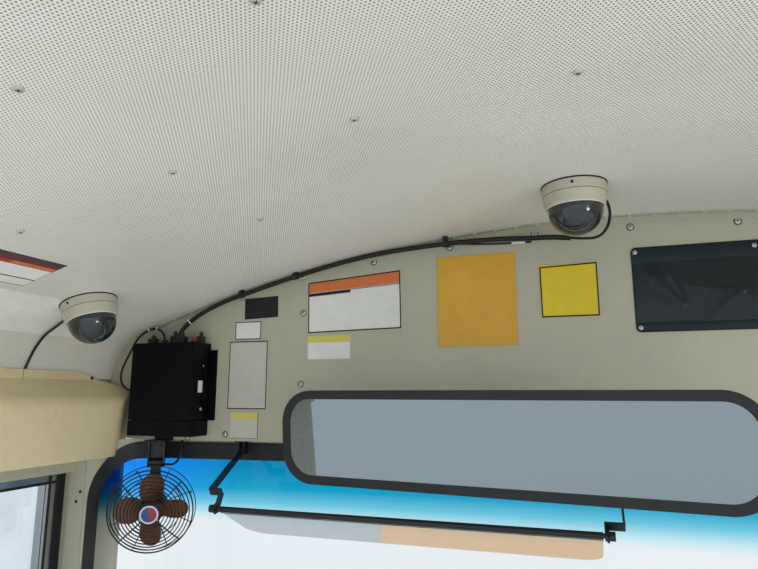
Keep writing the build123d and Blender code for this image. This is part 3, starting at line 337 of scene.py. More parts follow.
# Plain finishes: 8-bit colour, roughness, unevenness, other shader values
PLAIN = {
    "yellow_body": ((234, 156, 12), 0.28, None, COATED),
    "cream_paint": ((178, 176, 156), 0.40, ENAMEL),
    "black_rubber": ((17, 20, 22), 0.5, GRAIN),
    "beige_plastic": ((226, 208, 166), 0.5, MOULDED),
    "window_aluminium": ((170, 172, 172), 0.38, dict(grain=0.00008), dict(metallic=1.0)),
    "black_plastic": ((18, 23, 29), 0.38, GRAIN),
    "amber_lens": ((228, 120, 8), 0.18, CAST, dict(coat_weight=0.6)),
    "red_lens": ((170, 12, 10), 0.18, CAST, dict(coat_weight=0.6)),
    "black_steel": ((24, 25, 27), 0.42, dict(dark=0.25, grain=0.0001)),
    "guard_wire": ((9, 9, 10), 0.38, dict(dark=0.2, grain=0.0001)),
    "badge_plastic": ((30, 60, 130), 0.25, None, COATED),
    "amber_plastic": ((126, 68, 36), 0.22, None, dict(transmission_weight=0.35)),
    "recorder_black": ((3, 7, 13), 0.5, GRAIN, dict(specular_ior_level=0.12)),
    "green_vinyl": ((12, 32, 35), 0.36, GRAIN, dict(specular_ior_level=0.3)),
    "gold_plate": ((214, 162, 50), 0.5),
    "yellow_plate": ((222, 196, 32), 0.5),
    "cable_black": ((7, 8, 10), 0.45, GRAIN),
    "camera_cream": ((186, 182, 162), 0.38, GRAIN),
    "dome_black": ((14, 14, 16), 0.2),
    "white_label": ((228, 229, 224), 0.45),
    "white_paper": ((240, 240, 236), 0.5),
    "grey_label": ((196, 194, 184), 0.5),
    "orange_print": ((214, 116, 62), 0.5),
    "olive_print": ((214, 206, 100), 0.5),
    "black_print": ((14, 16, 20), 0.5),
    "maroon_print": ((92, 52, 56), 0.5),
    "screw_steel": ((216, 214, 206), 0.34, None, dict(metallic=0.8)),
    "painted_screw": ((190, 188, 172), 0.36),
    "dark_screw": ((50, 48, 44), 0.4, None, dict(metallic=0.7)),
    "bright_rim": ((226, 224, 214), 0.3),
    "badge_red": ((150, 30, 34), 0.25, None, COATED),
    "badge_white": ((214, 216, 220), 0.3),
    "red_cap": ((190, 34, 28), 0.4),
    "tie_white": ((214, 212, 204), 0.4),
    "lens_glass": ((20, 22, 40), 0.05, None, dict(coat_weight=1.0)),
}


def make_materials():
    """Every finish by its name."""
    made = {name: build(name) for name, build in MADE.items()}
    made.update({name: sheet_plastic(name, *row) for name, row in SHEETS.items()})
    made.update({name: plain(name, *row) for name, row in PLAIN.items()})
    return made


MATERIALS = make_materials()
# Finishes of nodes that don't have the one named like their slot
SHARED = {
    "yellow_shell": ("roof_skin", "front_cap", "windshield_frame", "a_pillar_left", "a_pillar_right"),
    "yellow_body": ("cowl_rail", "drip_rails"),
    "window_glass": ("driver_window_panes",),
    "dome_smoke": ("camera_left_dome", "camera_right_dome"),
}


def dress_nodes():
    """Give every node of the frame its finish."""
    shared = {name: finish for finish, names in SHARED.items() for name in names}
    for part in frame["record"]["subparts"]:
        name, slot = part["node"], part["material_slot"]
        node = NODES[name]
        node.data.materials.clear()
        node.data.materials.append(MATERIALS[shared.get(name, slot)])


# Mesh helpers
MM = 0.001


def at(x, y, z):
    """A point given in millimetres."""
    return Vector((x, y, z)) * MM


def placed(name, data):
    """An object of the scene."""
    made = bpy.data.objects.new(name, data)
    bpy.context.scene.collection.objects.link(made)
    return made


def make(name, verts, faces, finish, body="root", smooth=False, uv=None, sharp=35.0):
    """A mesh piece that rides on a body."""
    data = bpy.data.meshes.new(name)
    data.from_pydata([tuple(v) for v in verts], [], faces)
    data.materials.append(MATERIALS[finish])
    if uv is not None:
        layer = data.uv_layers.new(name="flat")
        for loop in data.loops:
            layer.data[loop.index].uv = uv[loop.vertex_index]
    tidy = bmesh.new()
    tidy.from_mesh(data)
    bmesh.ops.recalc_face_normals(tidy, faces=tidy.faces)
    tidy.to_mesh(data)
    tidy.free()
    if smooth:
        data.polygons.foreach_set("use_smooth", [True] * len(data.polygons))
        data.set_sharp_from_angle(angle=radians(sharp))
    data.update()
    piece = placed(name, data)
    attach(piece, body)
    return piece


class Forms:
    """Points and faces gathered from several closed forms."""

    def __init__(self):
        self.verts, self.faces = [], []

    def add(self, *forms):
        for verts, faces in forms:
            base = len(self.verts)
            self.verts += verts
            self.faces += [tuple(base + i for i in face) for face in faces]

    def make(self, name, finish, **settings):
        return make(name, self.verts, self.faces, finish, **settings)


def slab(corners, depth):
    """Closed plate: an outline and the vector it is thick along."""
    n = len(corners)
    depth = Vector(depth)
    verts = [Vector(c) for c in corners] + [Vector(c) + depth for c in corners]
    faces = [tuple(range(n)), tuple(range(n, 2 * n))]
    faces += [(i, (i + 1) % n, n + (i + 1) % n, n + i) for i in range(n)]
    return verts, faces


def brick(low, high):
    """A box between two corners in millimetres."""
    (x0, y0, z0), (x1, y1, z1) = low, high
    return slab([at(x0, y0, z0), at(x1, y0, z0), at(x1, y0, z1), at(x0, y0, z1)], (0, (y1 - y0) * MM, 0))


def frame_of(axis):
    """Two directions square to an axis."""
    axis = Vector(axis).normalized()
    side = axis.orthogonal().normalized()
    return axis, side, axis.cross(side)


def lathe(profile, place, axis, steps, closed=False):
    """Form turned from (radius, height) pairs, on the axis at both ends or closed."""
    axis, side, other = frame_of(axis)
    verts, rings = [], []
    for r, h in profile:
        centre = Vector(place) + axis * h
        count = steps if r > 0 else 1
        rings.append([len(verts) + i for i in range(count)])
        for i in range(count):
            a = 2 * pi * i / steps
            verts.append(centre + (side * cos(a) + other * sin(a)) * r)
    faces = []
    pairs = list(zip(rings, rings[1:])) + ([(rings[-1], rings[0])] if closed else [])
    for low, high in pairs:
        for i in range(steps):
            j = (i + 1) % steps
            spots = (low[i % len(low)], low[j % len(low)], high[j % len(high)], high[i % len(high)])
            face = tuple(dict.fromkeys(spots))
            if len(face) > 2:
                faces.append(face)
    return verts, faces


def wire(points, radius, steps=8, closed=False):
    """Round wire along points."""
    points = [Vector(p) for p in points]
    n = len(points)
    verts, faces = [], []
    side = None
    for i, p in enumerate(points):
        after = points[(i + 1) % n] if closed or i < n - 1 else p
        before = points[i - 1] if closed or i else p
        along = (after - before).normalized()
        side = along.orthogonal() if side is None else side - along * side.dot(along)
        side.normalize()
        other = along.cross(side)
        for k in range(steps):
            a = 2 * pi * k / steps
            verts.append(p + (side * cos(a) + other * sin(a)) * radius)
    for i in range(n if closed else n - 1):
        j = (i + 1) % n
        for k in range(steps):
            m = (k + 1) % steps
            faces.append((i * steps + k, i * steps + m, j * steps + m, j * steps + k))
    if not closed:
        faces += [tuple(range(steps)), tuple(range((n - 1) * steps, n * steps))]
    return verts, faces


ARC_STEPS = 48
SHOULDER_STEPS = 12


def roof_profile(grow=0.0):
    """Points (x, z, run) across the ceiling, with the run along it from the middle."""
    half = INNER_HALF + grow
    reach, turn = ROOF_R + grow, SHOULDER_R + grow
    end = asin((half - turn) / (reach - turn))
    centre_x = half - turn
    centre_z = APEX_Z - ROOF_R + sqrt((reach - turn) ** 2 - centre_x**2)
    points = []
    for i in range(ARC_STEPS + 1):
        a = end * i / ARC_STEPS
        points.append((reach * sin(a), APEX_Z - ROOF_R + reach * cos(a), ROOF_R * a))
    run = ROOF_R * end
    for i in range(1, SHOULDER_STEPS + 1):
        a = end + (pi / 2 - end) * i / SHOULDER_STEPS
        points.append((centre_x + turn * sin(a), centre_z + turn * cos(a), run + SHOULDER_R * (a - end)))
    run += SHOULDER_R * (pi / 2 - end)
    points.append((half, EAVE_Z, run + centre_z - EAVE_Z))
    left = [(-x, z, -s) for x, z, s in points[:0:-1]]
    return left + points


def sheet_faces(n):
    """Faces of a closed bent sheet: two rows of n points at one end, then two at the other."""
    faces = [(0, 2 * n, 3 * n, n), (n - 1, 2 * n - 1, 4 * n - 1, 3 * n - 1)]
    for i in range(n - 1):
        for a, b in ((0, 2 * n), (n, 3 * n), (0, n), (2 * n, 3 * n)):
            faces.append((a + i, a + i + 1, b + i + 1, b + i))
    return faces


def headliner():
    """The perforated sheet, with its lengths kept for the rows of holes."""
    rows = roof_profile(), roof_profile(LINER_T)
    spots = [(x, y, z, s) for y in (LINER_BOX[1].y, REAR_Y) for row in rows for x, z, s in row]
    verts = [(x, y, z) for x, y, z, s in spots]
    uv = [(s, y) for x, y, z, s in spots]
    piece = make("headliner_sheet", verts, sheet_faces(len(rows[0])), "perforated_liner", uv=uv)
    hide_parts("headliner_panel")


# Header: labels, screws and rivets
def sheet_quad(corners, low, high, top, bottom):
    """Part of a four-cornered label, by shares across it and down it."""
    (ax, az), (bx, bz), (cx, cz), (dx, dz) = corners
    spots = []
    for u, v in ((low, top), (high, top), (high, bottom), (low, bottom)):
        x = (ax + (bx - ax) * u) * (1 - v) + (dx + (cx - dx) * u) * v
        z = (az + (bz - az) * u) * (1 - v) + (dz + (cz - dz) * u) * v
        spots.append((x, z))
    return spots


def square(x0, x1, z0, z1):
    return (x0, z1), (x1, z1), (x1, z0), (x0, z0)


FULL = (0.0, 1.0, 0.0, 1.0)
# Label corners (x, z) in millimetres, then what lies on it: finish and shares across and down
LABELS = [
    (((-627, 1280), (-414, 1296), (-412, 1172), (-625, 1168)), (
        ("black_print", *FULL), ("white_label", 0.012, 0.988, 0.024, 0.976),
        ("orange_print", 0.012, 0.988, 0.024, 0.215), ("black_print", 0.012, 0.47, 0.222, 0.285),
        ("black_print", 0.47, 0.988, 0.222, 0.236))),
    (((-786, 1252), (-701, 1255), (-700, 1207), (-785, 1204)), (
        ("black_print", *FULL),)),
    (square(-808, -742, 1158.5, 1199), (("black_print", *FULL), ("white_label", 0.03, 0.97, 0.05, 0.95))),
    (square(-821, -724, 1003.5, 1154.5), (
        ("black_print", *FULL), ("grey_label", 0.022, 0.978, 0.016, 0.984))),
    (square(-812, -742, 940, 996), (
        ("grey_label", *FULL), ("olive_print", 0.01, 0.99, 0.01, 0.25),
        ("black_print", 0.0, 1.0, 0.985, 1.0), ("black_print", 0.985, 1.0, 0.0, 1.0))),
    (square(-625, -526, 1111, 1161.5), (("white_label", *FULL), ("olive_print", 0.0, 1.0, 0.0, 0.29))),
    (square(-333, -174, 1132, 1316.5), (("gold_plate", *FULL),)),
    (((-128, 1283), (-21, 1286.5), (-21, 1183), (-127, 1183)), (
        ("black_print", *FULL), ("yellow_plate", 0.025, 0.975, 0.028, 0.972))),
]
# Thickness of a label, of each print on it and of a sign, in millimetres
LABEL_T = 0.3
PRINT_T = 0.05
SIGN_T = 1.5


def header_labels():
    """Blank labels and signs in their colours, borders and bands."""
    forms = {}
    face = HEADER_Y / MM
    for corners, layers in LABELS:
        back = face - (SIGN_T if layers[-1][0] in ("gold_plate", "yellow_plate") else 0.0)
        for step, (finish, low, high, top, bottom) in enumerate(layers):
            spots = sheet_quad(corners, low, high, top, bottom)
            front = back - LABEL_T - PRINT_T * step
            outline = [at(x, back, z) for x, z in spots]
            forms.setdefault(finish, Forms()).add(slab(outline, (0, (front - back) * MM, 0)))
    for finish, form in forms.items():
        form.make(f"header_labels_{finish}", finish)


# Screw head: sink, rise as a share of its radius, and outline as shares of both
SCREW_SINK = 0.0004
SCREW_RISE = 0.55
SCREW_HEAD = ((1, 0.3), (0.86, 0.72), (0.55, 0.97), (0.2, 1), (0, 1))
# Its cross: half length and half width by the radius, foot and depth by the rise
CROSS = (0.5, 0.1, 0.8, 0.24)


def pan_screw(place, axis, radius):
    """Raised screw head, and the dark cross cut in it."""
    place, (axis, side, other) = Vector(place), frame_of(axis)
    rise = radius * SCREW_RISE
    shape = [(0, -SCREW_SINK), (radius, -SCREW_SINK)]
    shape += [(radius * r, rise * h) for r, h in SCREW_HEAD]
    half_long, half_wide, foot, deep = CROSS
    crosses = []
    for one, two in ((side, other), (other, side)):
        long, thin = one * radius * half_long, two * radius * half_wide
        corners = [place + long + thin, place - long + thin, place - long - thin, place + long - thin]
        crosses.append(slab([c + axis * rise * foot for c in corners], axis * rise * deep))
    return lathe(shape, place, axis, 20), *crosses


def screws(name, spots, radius, finish, slot_finish="dark_screw"):
    """Screws at (place, axis) pairs."""
    tops, cuts = Forms(), Forms()
    for place, axis in spots:
        head, *crosses = pan_screw(place, axis, radius)
        tops.add(head)
        cuts.add(*crosses)
    tops.make(name, finish, smooth=True)
    cuts.make(name + "_slots", slot_finish)


def heads(name, shape, spots, finish, steps=12):
    """Turned washers or rivets at (place, axis) pairs."""
    form = Forms()
    for place, axis in spots:
        form.add(lathe(shape, place, axis, steps))
    form.make(name, finish, smooth=True)


# Screws (x, z) in millimetres, and their washer's shape (radius, height)
HEADER_SCREWS = [
    (43, 1350), (223, 1345), (-795, 1256), (-640, 1294), (-473, 1317), (-306, 1337), (-134, 1351),
    (-638, 1213), (-641, 1058), (-824, 948), (-923, 939), (600, 1275), (640, 1120), (824, 948),
]
HEADER_SCREW_R = 0.0056
WASHER = [(0, -0.0003), (0.0072, -0.0003), (0.0068, 0.0006), (0, 0.0006)]


def header_screws():
    """Screws of the header on dark washers."""
    spots = [(at(x, HEADER_Y / MM, z), (0, -1, 0)) for x, z in HEADER_SCREWS]
    screws("header_screws", spots, HEADER_SCREW_R, "screw_steel")
    heads("header_washers", WASHER, spots, "dark_screw", 20)


# Seam rivets: shape, number each side, pitch and place at the seam
SEAM_RIVET = [
    (0, -0.0004), (0.004, -0.0004), (0.0039, 0.0008), (0.0028, 0.002), (0.0013, 0.0026), (0, 0.0028),
]
SEAM_RIVETS = 25
SEAM_PITCH = 0.042
SEAM_BACK = 0.011
SEAM_DROP = 0.002


def ceiling(x):
    """Height of the ceiling and its inward normal at x."""
    lean = asin(x / ROOF_R)
    return APEX_Z - ROOF_R + ROOF_R * cos(lean), Vector((-sin(lean), 0, -cos(lean)))


def seam_rivets():
    """Painted rivets along the header's arched seam."""
    spots = []
    for i in range(-SEAM_RIVETS, SEAM_RIVETS + 1):
        z, normal = ceiling(i * SEAM_PITCH)
        spots.append((Vector((i * SEAM_PITCH, HEADER_Y - SEAM_BACK, z)) + normal * SEAM_DROP, normal))
    heads("seam_rivets", SEAM_RIVET, spots, "painted_screw")


# Screws of the ceiling: rows, columns, and the two columns of the front row
CEILING_ROWS = (-0.448, -0.674, -0.902)
COLUMN_X = -0.047
COLUMN_PITCH = 0.2505
COLUMNS = range(-4, 5)
FRONT_COLUMNS = (-2, 2)
CEILING_REACH = 1.0
CEILING_SCREW_R = 0.0055


def ceiling_screws():
    """Painted screws in rows, short of the shoulders."""
    spots = []
    for y in CEILING_ROWS:
        for i in FRONT_COLUMNS if y == CEILING_ROWS[0] else COLUMNS:
            x = COLUMN_X + COLUMN_PITCH * i
            if abs(x) <= CEILING_REACH:
                z, normal = ceiling(x)
                spots.append((Vector((x, y, z)), normal))
    screws("ceiling_screws", spots, CEILING_SCREW_R, "painted_screw")


# Labels on the left shoulder of the ceiling
def on_ceiling(run, drop):
    """Point (x, z) at a length along the ceiling, let down from it."""
    points = roof_profile(-drop)
    for (x0, z0, s0), (x1, z1, s1) in zip(points, points[1:]):
        if s0 <= run <= s1:
            share = (run - s0) / (s1 - s0)
            return x0 + (x1 - x0) * share, z0 + (z1 - z0) * share


PATCH_STEPS = 8


def ceiling_patch(runs, back_y, front_ys, thick):
    """Thin label bent to the ceiling, with a slanted front end."""
    verts = []
    for end in (0, 1):
        for drop in (0.0, thick):
            for i in range(PATCH_STEPS + 1):
                share = i / PATCH_STEPS
                x, z = on_ceiling(runs[0] + (runs[1] - runs[0]) * share, drop)
                front = front_ys[0] + (front_ys[1] - front_ys[0]) * share
                verts.append((x, front if end else back_y, z))
    return verts, sheet_faces(PATCH_STEPS + 1)


# Label's runs, rear end and front ends, then what lies on it: finish and shares along and down
SHOULDER_LABELS = [
    ((-0.870, -0.966), -0.734, (-0.531, -0.531), (
        ("black_print", *FULL), ("maroon_print", 0.006, 0.994, 0.02, 0.22),
        ("red_cap", 0.006, 0.6, 0.22, 0.32), ("orange_print", 0.6, 0.994, 0.22, 0.32),
        ("white_paper", 0.006, 0.45, 0.335, 0.72),
        ("white_paper", 0.456, 0.994, 0.335, 0.72), ("white_paper", 0.006, 0.994, 0.755, 0.98))),
    ((-0.988, -1.133), -0.700, (-0.433, -0.250), (("white_paper", *FULL),)),
]


def shoulder_labels():
    """Blank labels bent round the ceiling's left shoulder."""
    forms = {}
    for (upper, lower), back, fronts, layers in SHOULDER_LABELS:
        for step, (finish, low, high, top, bottom) in enumerate(layers):
            runs = [upper + (lower - upper) * share for share in (top, bottom)]
            ends = [fronts[0] + (fronts[1] - fronts[0]) * share for share in (top, bottom)]
            rear = back + (ends[0] - back) * low
            tips = [back + (end - back) * high for end in ends]
            thick = (LABEL_T + PRINT_T * step) * MM
            forms.setdefault(finish, Forms()).add(ceiling_patch(runs, rear, tips, thick))
    for finish, form in forms.items():
        form.make(f"shoulder_labels_{finish}", finish)


# Pouch on the header
def bent_sheet(surface, across, down, depth):
    """Closed sheet from a grid of points and the vector it is thick along."""
    verts = []
    for shift in (Vector(), Vector(depth)):
        for j in range(down + 1):
            for i in range(across + 1):
                verts.append(Vector(surface(i / across, (1 - cos(pi * j / down)) / 2)) + shift)
    row, layer = across + 1, (across + 1) * (down + 1)
    faces = []
    for j in range(down):
        for i in range(across):
            a = j * row + i
            faces.append((a, a + 1, a + row + 1, a + row))
            faces.append((layer + a, layer + a + row, layer + a + row + 1, layer + a + 1))
    rim = list(range(row)) + [j * row + across for j in range(1, down + 1)]
    rim += [down * row + i for i in range(across - 1, -1, -1)] + [j * row for j in range(down - 1, 0, -1)]
    faces += [(a, b, layer + b, layer + a) for a, b in zip(rim, rim[1:] + rim[:1])]
    return verts, faces


POUCH_LOW, POUCH_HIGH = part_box("document_pouch")
POUCH_R = 0.009
VINYL_T = 0.0012
HEM_TOP = 0.031
HEM_LOW = 0.017
HEM_INSET = 0.001
HEM_STEP = 0.0006
HEM_RISE = 0.0012
HEM_BULGE = 0.0016
# Clear front: its lap under the hems, its thickness, and its belly, creases and waves
WINDOW_LAP = 0.004
WINDOW_T = 0.0005
WINDOW_GAP = 0.0006
BELLY = 0.0026
CREASE = 0.0034
CREASE_REACH = 9.0
WAVE = 0.0008
# Creases as corners (x, z) in millimetres
CREASES = [((75, 1252), (121, 1199), (106, 1259)), ((172, 1253), (172, 1179), (218, 1220)),
           ((258, 1262), (290, 1192), (318, 1246)), ((345, 1240), (372, 1205), (380, 1262))]
# Screws (x, z) in millimetres, and how far their heads stand off the vinyl
POUCH_SCREWS = [(47, 1299), (244, 1298), (48, 1157), (392, 1298), (392, 1157)]
POUCH_SCREW_R = 0.0042
POUCH_SCREW_RISE = 2.6


def corner_inset(from_edge):
    """How far a rounded corner pulls the side in."""
    short = POUCH_R - from_edge
    return POUCH_R - sqrt(POUCH_R**2 - short**2) if short > 0 else 0.0


def band_surface(x0, x1, z0, z1, y, bulge):
    """A band of the pouch, proud by a bulge in its middle."""
    def surface(u, v):
        z = z1 + (z0 - z1) * v
        inset = corner_inset(min(POUCH_HIGH.z - z, z - POUCH_LOW.z))
        x = x0 + inset + (x1 - x0 - 2 * inset) * u
        return x, y - bulge * sqrt(max(0.0, sin(pi * v))), z
    return surface


def segment_distance(x, z, one, two):
    """Distance of a point from the line between two others."""
    ax, az = one
    bx, bz = two
    share = ((x - ax) * (bx - ax) + (z - az) * (bz - az)) / ((bx - ax) ** 2 + (bz - az) ** 2)
    share = min(1.0, max(0.0, share))
    return hypot(x - ax - (bx - ax) * share, z - az - (bz - az) * share)


def window_surface(u, v):
    """Clear front of the pouch, bellied and creased."""
    wide = POUCH_HIGH.x - POUCH_LOW.x - 2 * WINDOW_LAP
    fall = POUCH_LOW.z + HEM_LOW - POUCH_HIGH.z + HEM_TOP - 2 * WINDOW_LAP
    x = POUCH_LOW.x + WINDOW_LAP + wide * u
    z = POUCH_HIGH.z - HEM_TOP + WINDOW_LAP + fall * v
    belly = BELLY * (max(0.0, sin(pi * u)) * max(0.0, sin(pi * v))) ** 0.4
    crease = 0.0
    for one, two, three in CREASES:
        away = min(segment_distance(x / MM, z / MM, one, two), segment_distance(x / MM, z / MM, two, three))
        crease = max(crease, CREASE * max(0.0, 1 - away / CREASE_REACH) ** 1.5)
    wave = WAVE * sin(55 * x + 20 * z) * sin(90 * z - 15 * x)
    fade = min(1.0, 12 * u, 12 * (1 - u), 8 * v, 8 * (1 - v))
    return x, HEADER_Y - VINYL_T - WINDOW_GAP - belly - (crease + wave) * fade, z


def pouch():
    """Green vinyl back with hems, its clear front and its screws."""
    face_y = HEADER_Y - VINYL_T
    (x0, z0), (x1, z1) = (POUCH_LOW.x, POUCH_LOW.z), (POUCH_HIGH.x, POUCH_HIGH.z)
    back = bent_sheet(band_surface(x0, x1, z0, z1, face_y, 0.0), 12, 24, (0, VINYL_T, 0))
    back = make("pouch_back", *back, "green_vinyl")
    hems = Forms()
    for low, high in ((z1 - HEM_TOP, z1 - HEM_STEP), (z0 + HEM_STEP, z0 + HEM_LOW)):
        hem = band_surface(x0 + HEM_INSET, x1 - HEM_INSET, low, high, face_y - HEM_RISE, HEM_BULGE)
        hems.add(bent_sheet(hem, 12, 12, (0, VINYL_T, 0)))
    hems = hems.make("pouch_hems", "green_vinyl", smooth=True)
    front = bent_sheet(window_surface, 150, 56, (0, WINDOW_T, 0))
    front = make("pouch_front", *front, "clear_vinyl", smooth=True, sharp=60)
    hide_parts("document_pouch")
    wide, high = x1 - x0 - 2 * WINDOW_LAP, z1 - z0 - HEM_TOP - HEM_LOW + 2 * WINDOW_LAP
    spots = [(at(x, face_y / MM - POUCH_SCREW_RISE, z), (0, -1, 0)) for x, z in POUCH_SCREWS]
    screws("pouch_screws", spots, POUCH_SCREW_R, "screw_steel")


# Fan: its middle and its axis, which points at the driver
FAN_AT = at(-969, -140, 788)
FAN_AXIS = Vector((0.50, -0.85, -0.16)).normalized()
FAN_ACROSS = Vector((-FAN_AXIS.y, FAN_AXIS.x, 0)).normalized()
FAN_UP = FAN_AXIS.cross(FAN_ACROSS)
# Guard: rings, and the height, rise and foot's radius of its front and back domes
GUARD_R = 0.0885
GUARD_INNER = 0.024
GUARD_RINGS = 10
BACK_RINGS = (0.092, 0.062, 0.031)
RIM_Z = (0.010, -0.012)
DOME_RISE = (0.020, 0.012)
DOME_FOOT_R = 0.093
RING_STEPS = 72
RIB_STEPS = 12
# Radii of its wires, and where its ribs start
EDGE_WIRE = 0.0016
RING_WIRE = 0.0013
RIB_WIRE = 0.0015
BACK_WIRE = 0.0010
FRONT_RIBS_R = 0.020
BACK_RIBS_R = 0.030
RIB_UNDER = 0.0012


def guard_height(r, front):
    """Height of the guard's front or back dome at a radius."""
    rise = DOME_RISE[0 if front else 1]
    ball = (DOME_FOOT_R**2 + rise**2) / (2 * rise)
    fall = ball - sqrt(ball**2 - r**2)
    return RIM_Z[0] + rise - fall if front else RIM_Z[1] - rise + fall


def fan_point(r, angle, height):
    """World point from the fan's own radius, angle and height."""
    return FAN_AT + (FAN_ACROSS * cos(angle) + FAN_UP * sin(angle)) * r + FAN_AXIS * height


def guard_ring(r, front, thick):
    """Round ring on one of the guard's domes."""
    height = guard_height(r, front)
    spots = [fan_point(r, 2 * pi * i / RING_STEPS, height) for i in range(RING_STEPS)]
    return wire(spots, thick, closed=True)


def guard_rib(inner, angle, front, thick):
    """Rib that lies under the rings of one of the domes."""
    spots = []
    for i in range(RIB_STEPS + 1):
        r = inner + (GUARD_R - inner) * i / RIB_STEPS
        spots.append(fan_point(r, angle, guard_height(r, front) - (RIB_UNDER if front else -RIB_UNDER)))
    return wire(spots, thick)


def fan_guard():
    """Round-wire guard: rings, ribs and rim posts."""
    form = Forms()
    for i in range(GUARD_RINGS):
        r = GUARD_INNER + (GUARD_R - GUARD_INNER) * i / (GUARD_RINGS - 1)
        form.add(guard_ring(r, True, EDGE_WIRE if i in (0, GUARD_RINGS - 1) else RING_WIRE))
    for r in BACK_RINGS:
        form.add(guard_ring(r, False, BACK_WIRE))
    for i in range(4):
        form.add(guard_rib(FRONT_RIBS_R, pi / 4 + pi / 2 * i, True, RIB_WIRE))
    for i in range(8):
        angle = pi / 8 + pi / 4 * i
        form.add(guard_rib(BACK_RIBS_R, angle, False, BACK_WIRE))
        heights = [guard_height(GUARD_R, True), guard_height(GUARD_R, False)]
        form.add(wire([fan_point(GUARD_R, angle, h) for h in heights], BACK_WIRE))
    guard = form.make("fan_guard_wires", "guard_wire", body="fan_head", smooth=True, sharp=50)
    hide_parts("fan_guard")


# Badge: radius and height of its face, its ring, and its print
BADGE_R = 0.021
BADGE_RISE = 0.003
BADGE_RING = (0.0160, 0.0192)
BADGE_HALF_R = 0.0158
BADGE_PRINT = 0.0003
BADGE_SINK = 0.0002
BADGE_TURN = 0.3


def fan_badge():
    """Plain ring and half disc on the badge."""
    top = guard_height(BADGE_R, True) + BADGE_RISE
    inner, outer = BADGE_RING
    low, high = top - BADGE_SINK, top + BADGE_PRINT
    shape = [(inner, low), (outer, low), (outer, high), (inner, high)]
    ring = lathe(shape, FAN_AT, FAN_AXIS, 40, closed=True)
    make("fan_badge_ring", *ring, "badge_white", body="fan_head")
    arc = [fan_point(BADGE_HALF_R, -pi / 2 + BADGE_TURN + pi * i / 20, top) for i in range(21)]
    make("fan_badge_half", *slab(arc, FAN_AXIS * BADGE_PRINT), "badge_red", body="fan_head")


# Recorder, with its plugs on top: x, y, width and height in millimetres
RECORDER_SIDE, _, RECORDER_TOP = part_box("recorder_body")[1]
PLUGS = [
    (-1018, -110, 18, 22), (-996, -133, 14, 18), (-958, -108, 16, 30),
    (-918, -134, 18, 24), (-884, -112, 14, 26),
]
PLUG_DEEP = 14
PLUG_SINK = 0.2
PLUG_BLOCK = 0.6
BOOT_R = (0.0052, 0.0034)
# Cords at the top: x, y and radius; then the thickness and heights of their collars
GLANDS = ((-0.942, -0.118, 0.0052), (-0.975, -0.122, 0.0027))
COLLAR_T = (0.004, 0.0028)
COLLAR_H = (0.005, 0.009)
# Red-capped terminal: place, and shapes (radius, height) of its stem and cap
TERMINAL_AT = (-0.899, -0.118)
STEM = [(0, 0), (0.0045, 0), (0.0045, 0.006), (0, 0.006)]
CAP = [(0, 0.006), (0.0036, 0.006), (0.0036, 0.012), (0.0024, 0.0145), (0, 0.015)]
# Screws (y, z) and blank label on its side, in millimetres
RECORDER_SCREWS = ((-117, 1099), (-122, 1004))
RECORDER_SCREW_R = 0.0038
RECORDER_LABEL = ((-136, 1040), (-100, 1066))
RECORDER_LABEL_T = 0.4


def recorder_side():
    """Screws and blank label on the recorder's side."""
    spots = [(Vector((RECORDER_SIDE, y * MM, z * MM)), (1, 0, 0)) for y, z in RECORDER_SCREWS]
    screws("recorder_screws", spots, RECORDER_SCREW_R, "screw_steel")
    (y0, z0), (y1, z1) = RECORDER_LABEL
    x = RECORDER_SIDE / MM
    make("recorder_label", *brick((x, y0, z0), (x + RECORDER_LABEL_T, y1, z1)), "white_label")


def plug(x, y, wide, tall):
    """A plug's block and its round boot."""
    top, across, deep = RECORDER_TOP / MM, wide / 2, PLUG_DEEP / 2
    low, high = top - PLUG_SINK, top + tall * PLUG_BLOCK
    block = brick((x - across, y - deep, low), (x + across, y + deep, high))
    foot = tall * PLUG_BLOCK * MM
    boot = [(0, foot), (BOOT_R[0], foot), (BOOT_R[1], tall * MM), (0, tall * MM)]
    return block, lathe(boot, (x * MM, y * MM, RECORDER_TOP), (0, 0, 1), 16)


def recorder_top():
    """Cord collars, plugs and the red-capped terminal on top of the recorder."""
    glands = Forms()
    for x, y, r in GLANDS:
        foot, rim = r + COLLAR_T[0], r + COLLAR_T[1]
        collar = [(r, 0), (foot, 0), (foot, COLLAR_H[0]), (rim, COLLAR_H[1]), (r, COLLAR_H[1])]
        glands.add(lathe(collar, (x, y, RECORDER_TOP), (0, 0, 1), 24, closed=True))
    for sizes in PLUGS:
        glands.add(*plug(*sizes))
    place = (*TERMINAL_AT, RECORDER_TOP)
    glands.add(lathe(STEM, place, (0, 0, 1), 20))
    glands.make("recorder_glands", "black_plastic", smooth=True)
    make("recorder_cap", *lathe(CAP, place, (0, 0, 1), 20), "red_cap", smooth=True)


# Cable ties: place, direction and the cord's radius; then their band and head
TIES = (
    ((-914.5, -113.5, 1201), (29, 1, 22), 0.0051),
    ((-1024, -118, 1185), (-24, 0, -8), 0.0026),
    ((-1001, -118.5, 1186.5), (-22, 1, 5), 0.0026),
)
BAND_HALF = 0.0013
BAND_R = (0.0001, 0.0012)
HEAD_HALF = (0.002, 0.002, 0.0016)
HEAD_OUT = 0.002


def tie(place, along, radius):
    """Cable tie: a flat band round a cord, and its head."""
    inner, outer = radius + BAND_R[0], radius + BAND_R[1]
    band = [(inner, -BAND_HALF), (outer, -BAND_HALF), (outer, BAND_HALF), (inner, BAND_HALF)]
    _, side, other = frame_of(along)
    centre = place + other * (radius + HEAD_OUT)
    a, b, c = Vector(along).normalized() * HEAD_HALF[0], side * HEAD_HALF[1], other * HEAD_HALF[2]
    corners = [centre - a - b - c, centre + a - b - c, centre + a + b - c, centre - a + b - c]
    return lathe(band, place, along, 20, closed=True), slab(corners, c * 2)


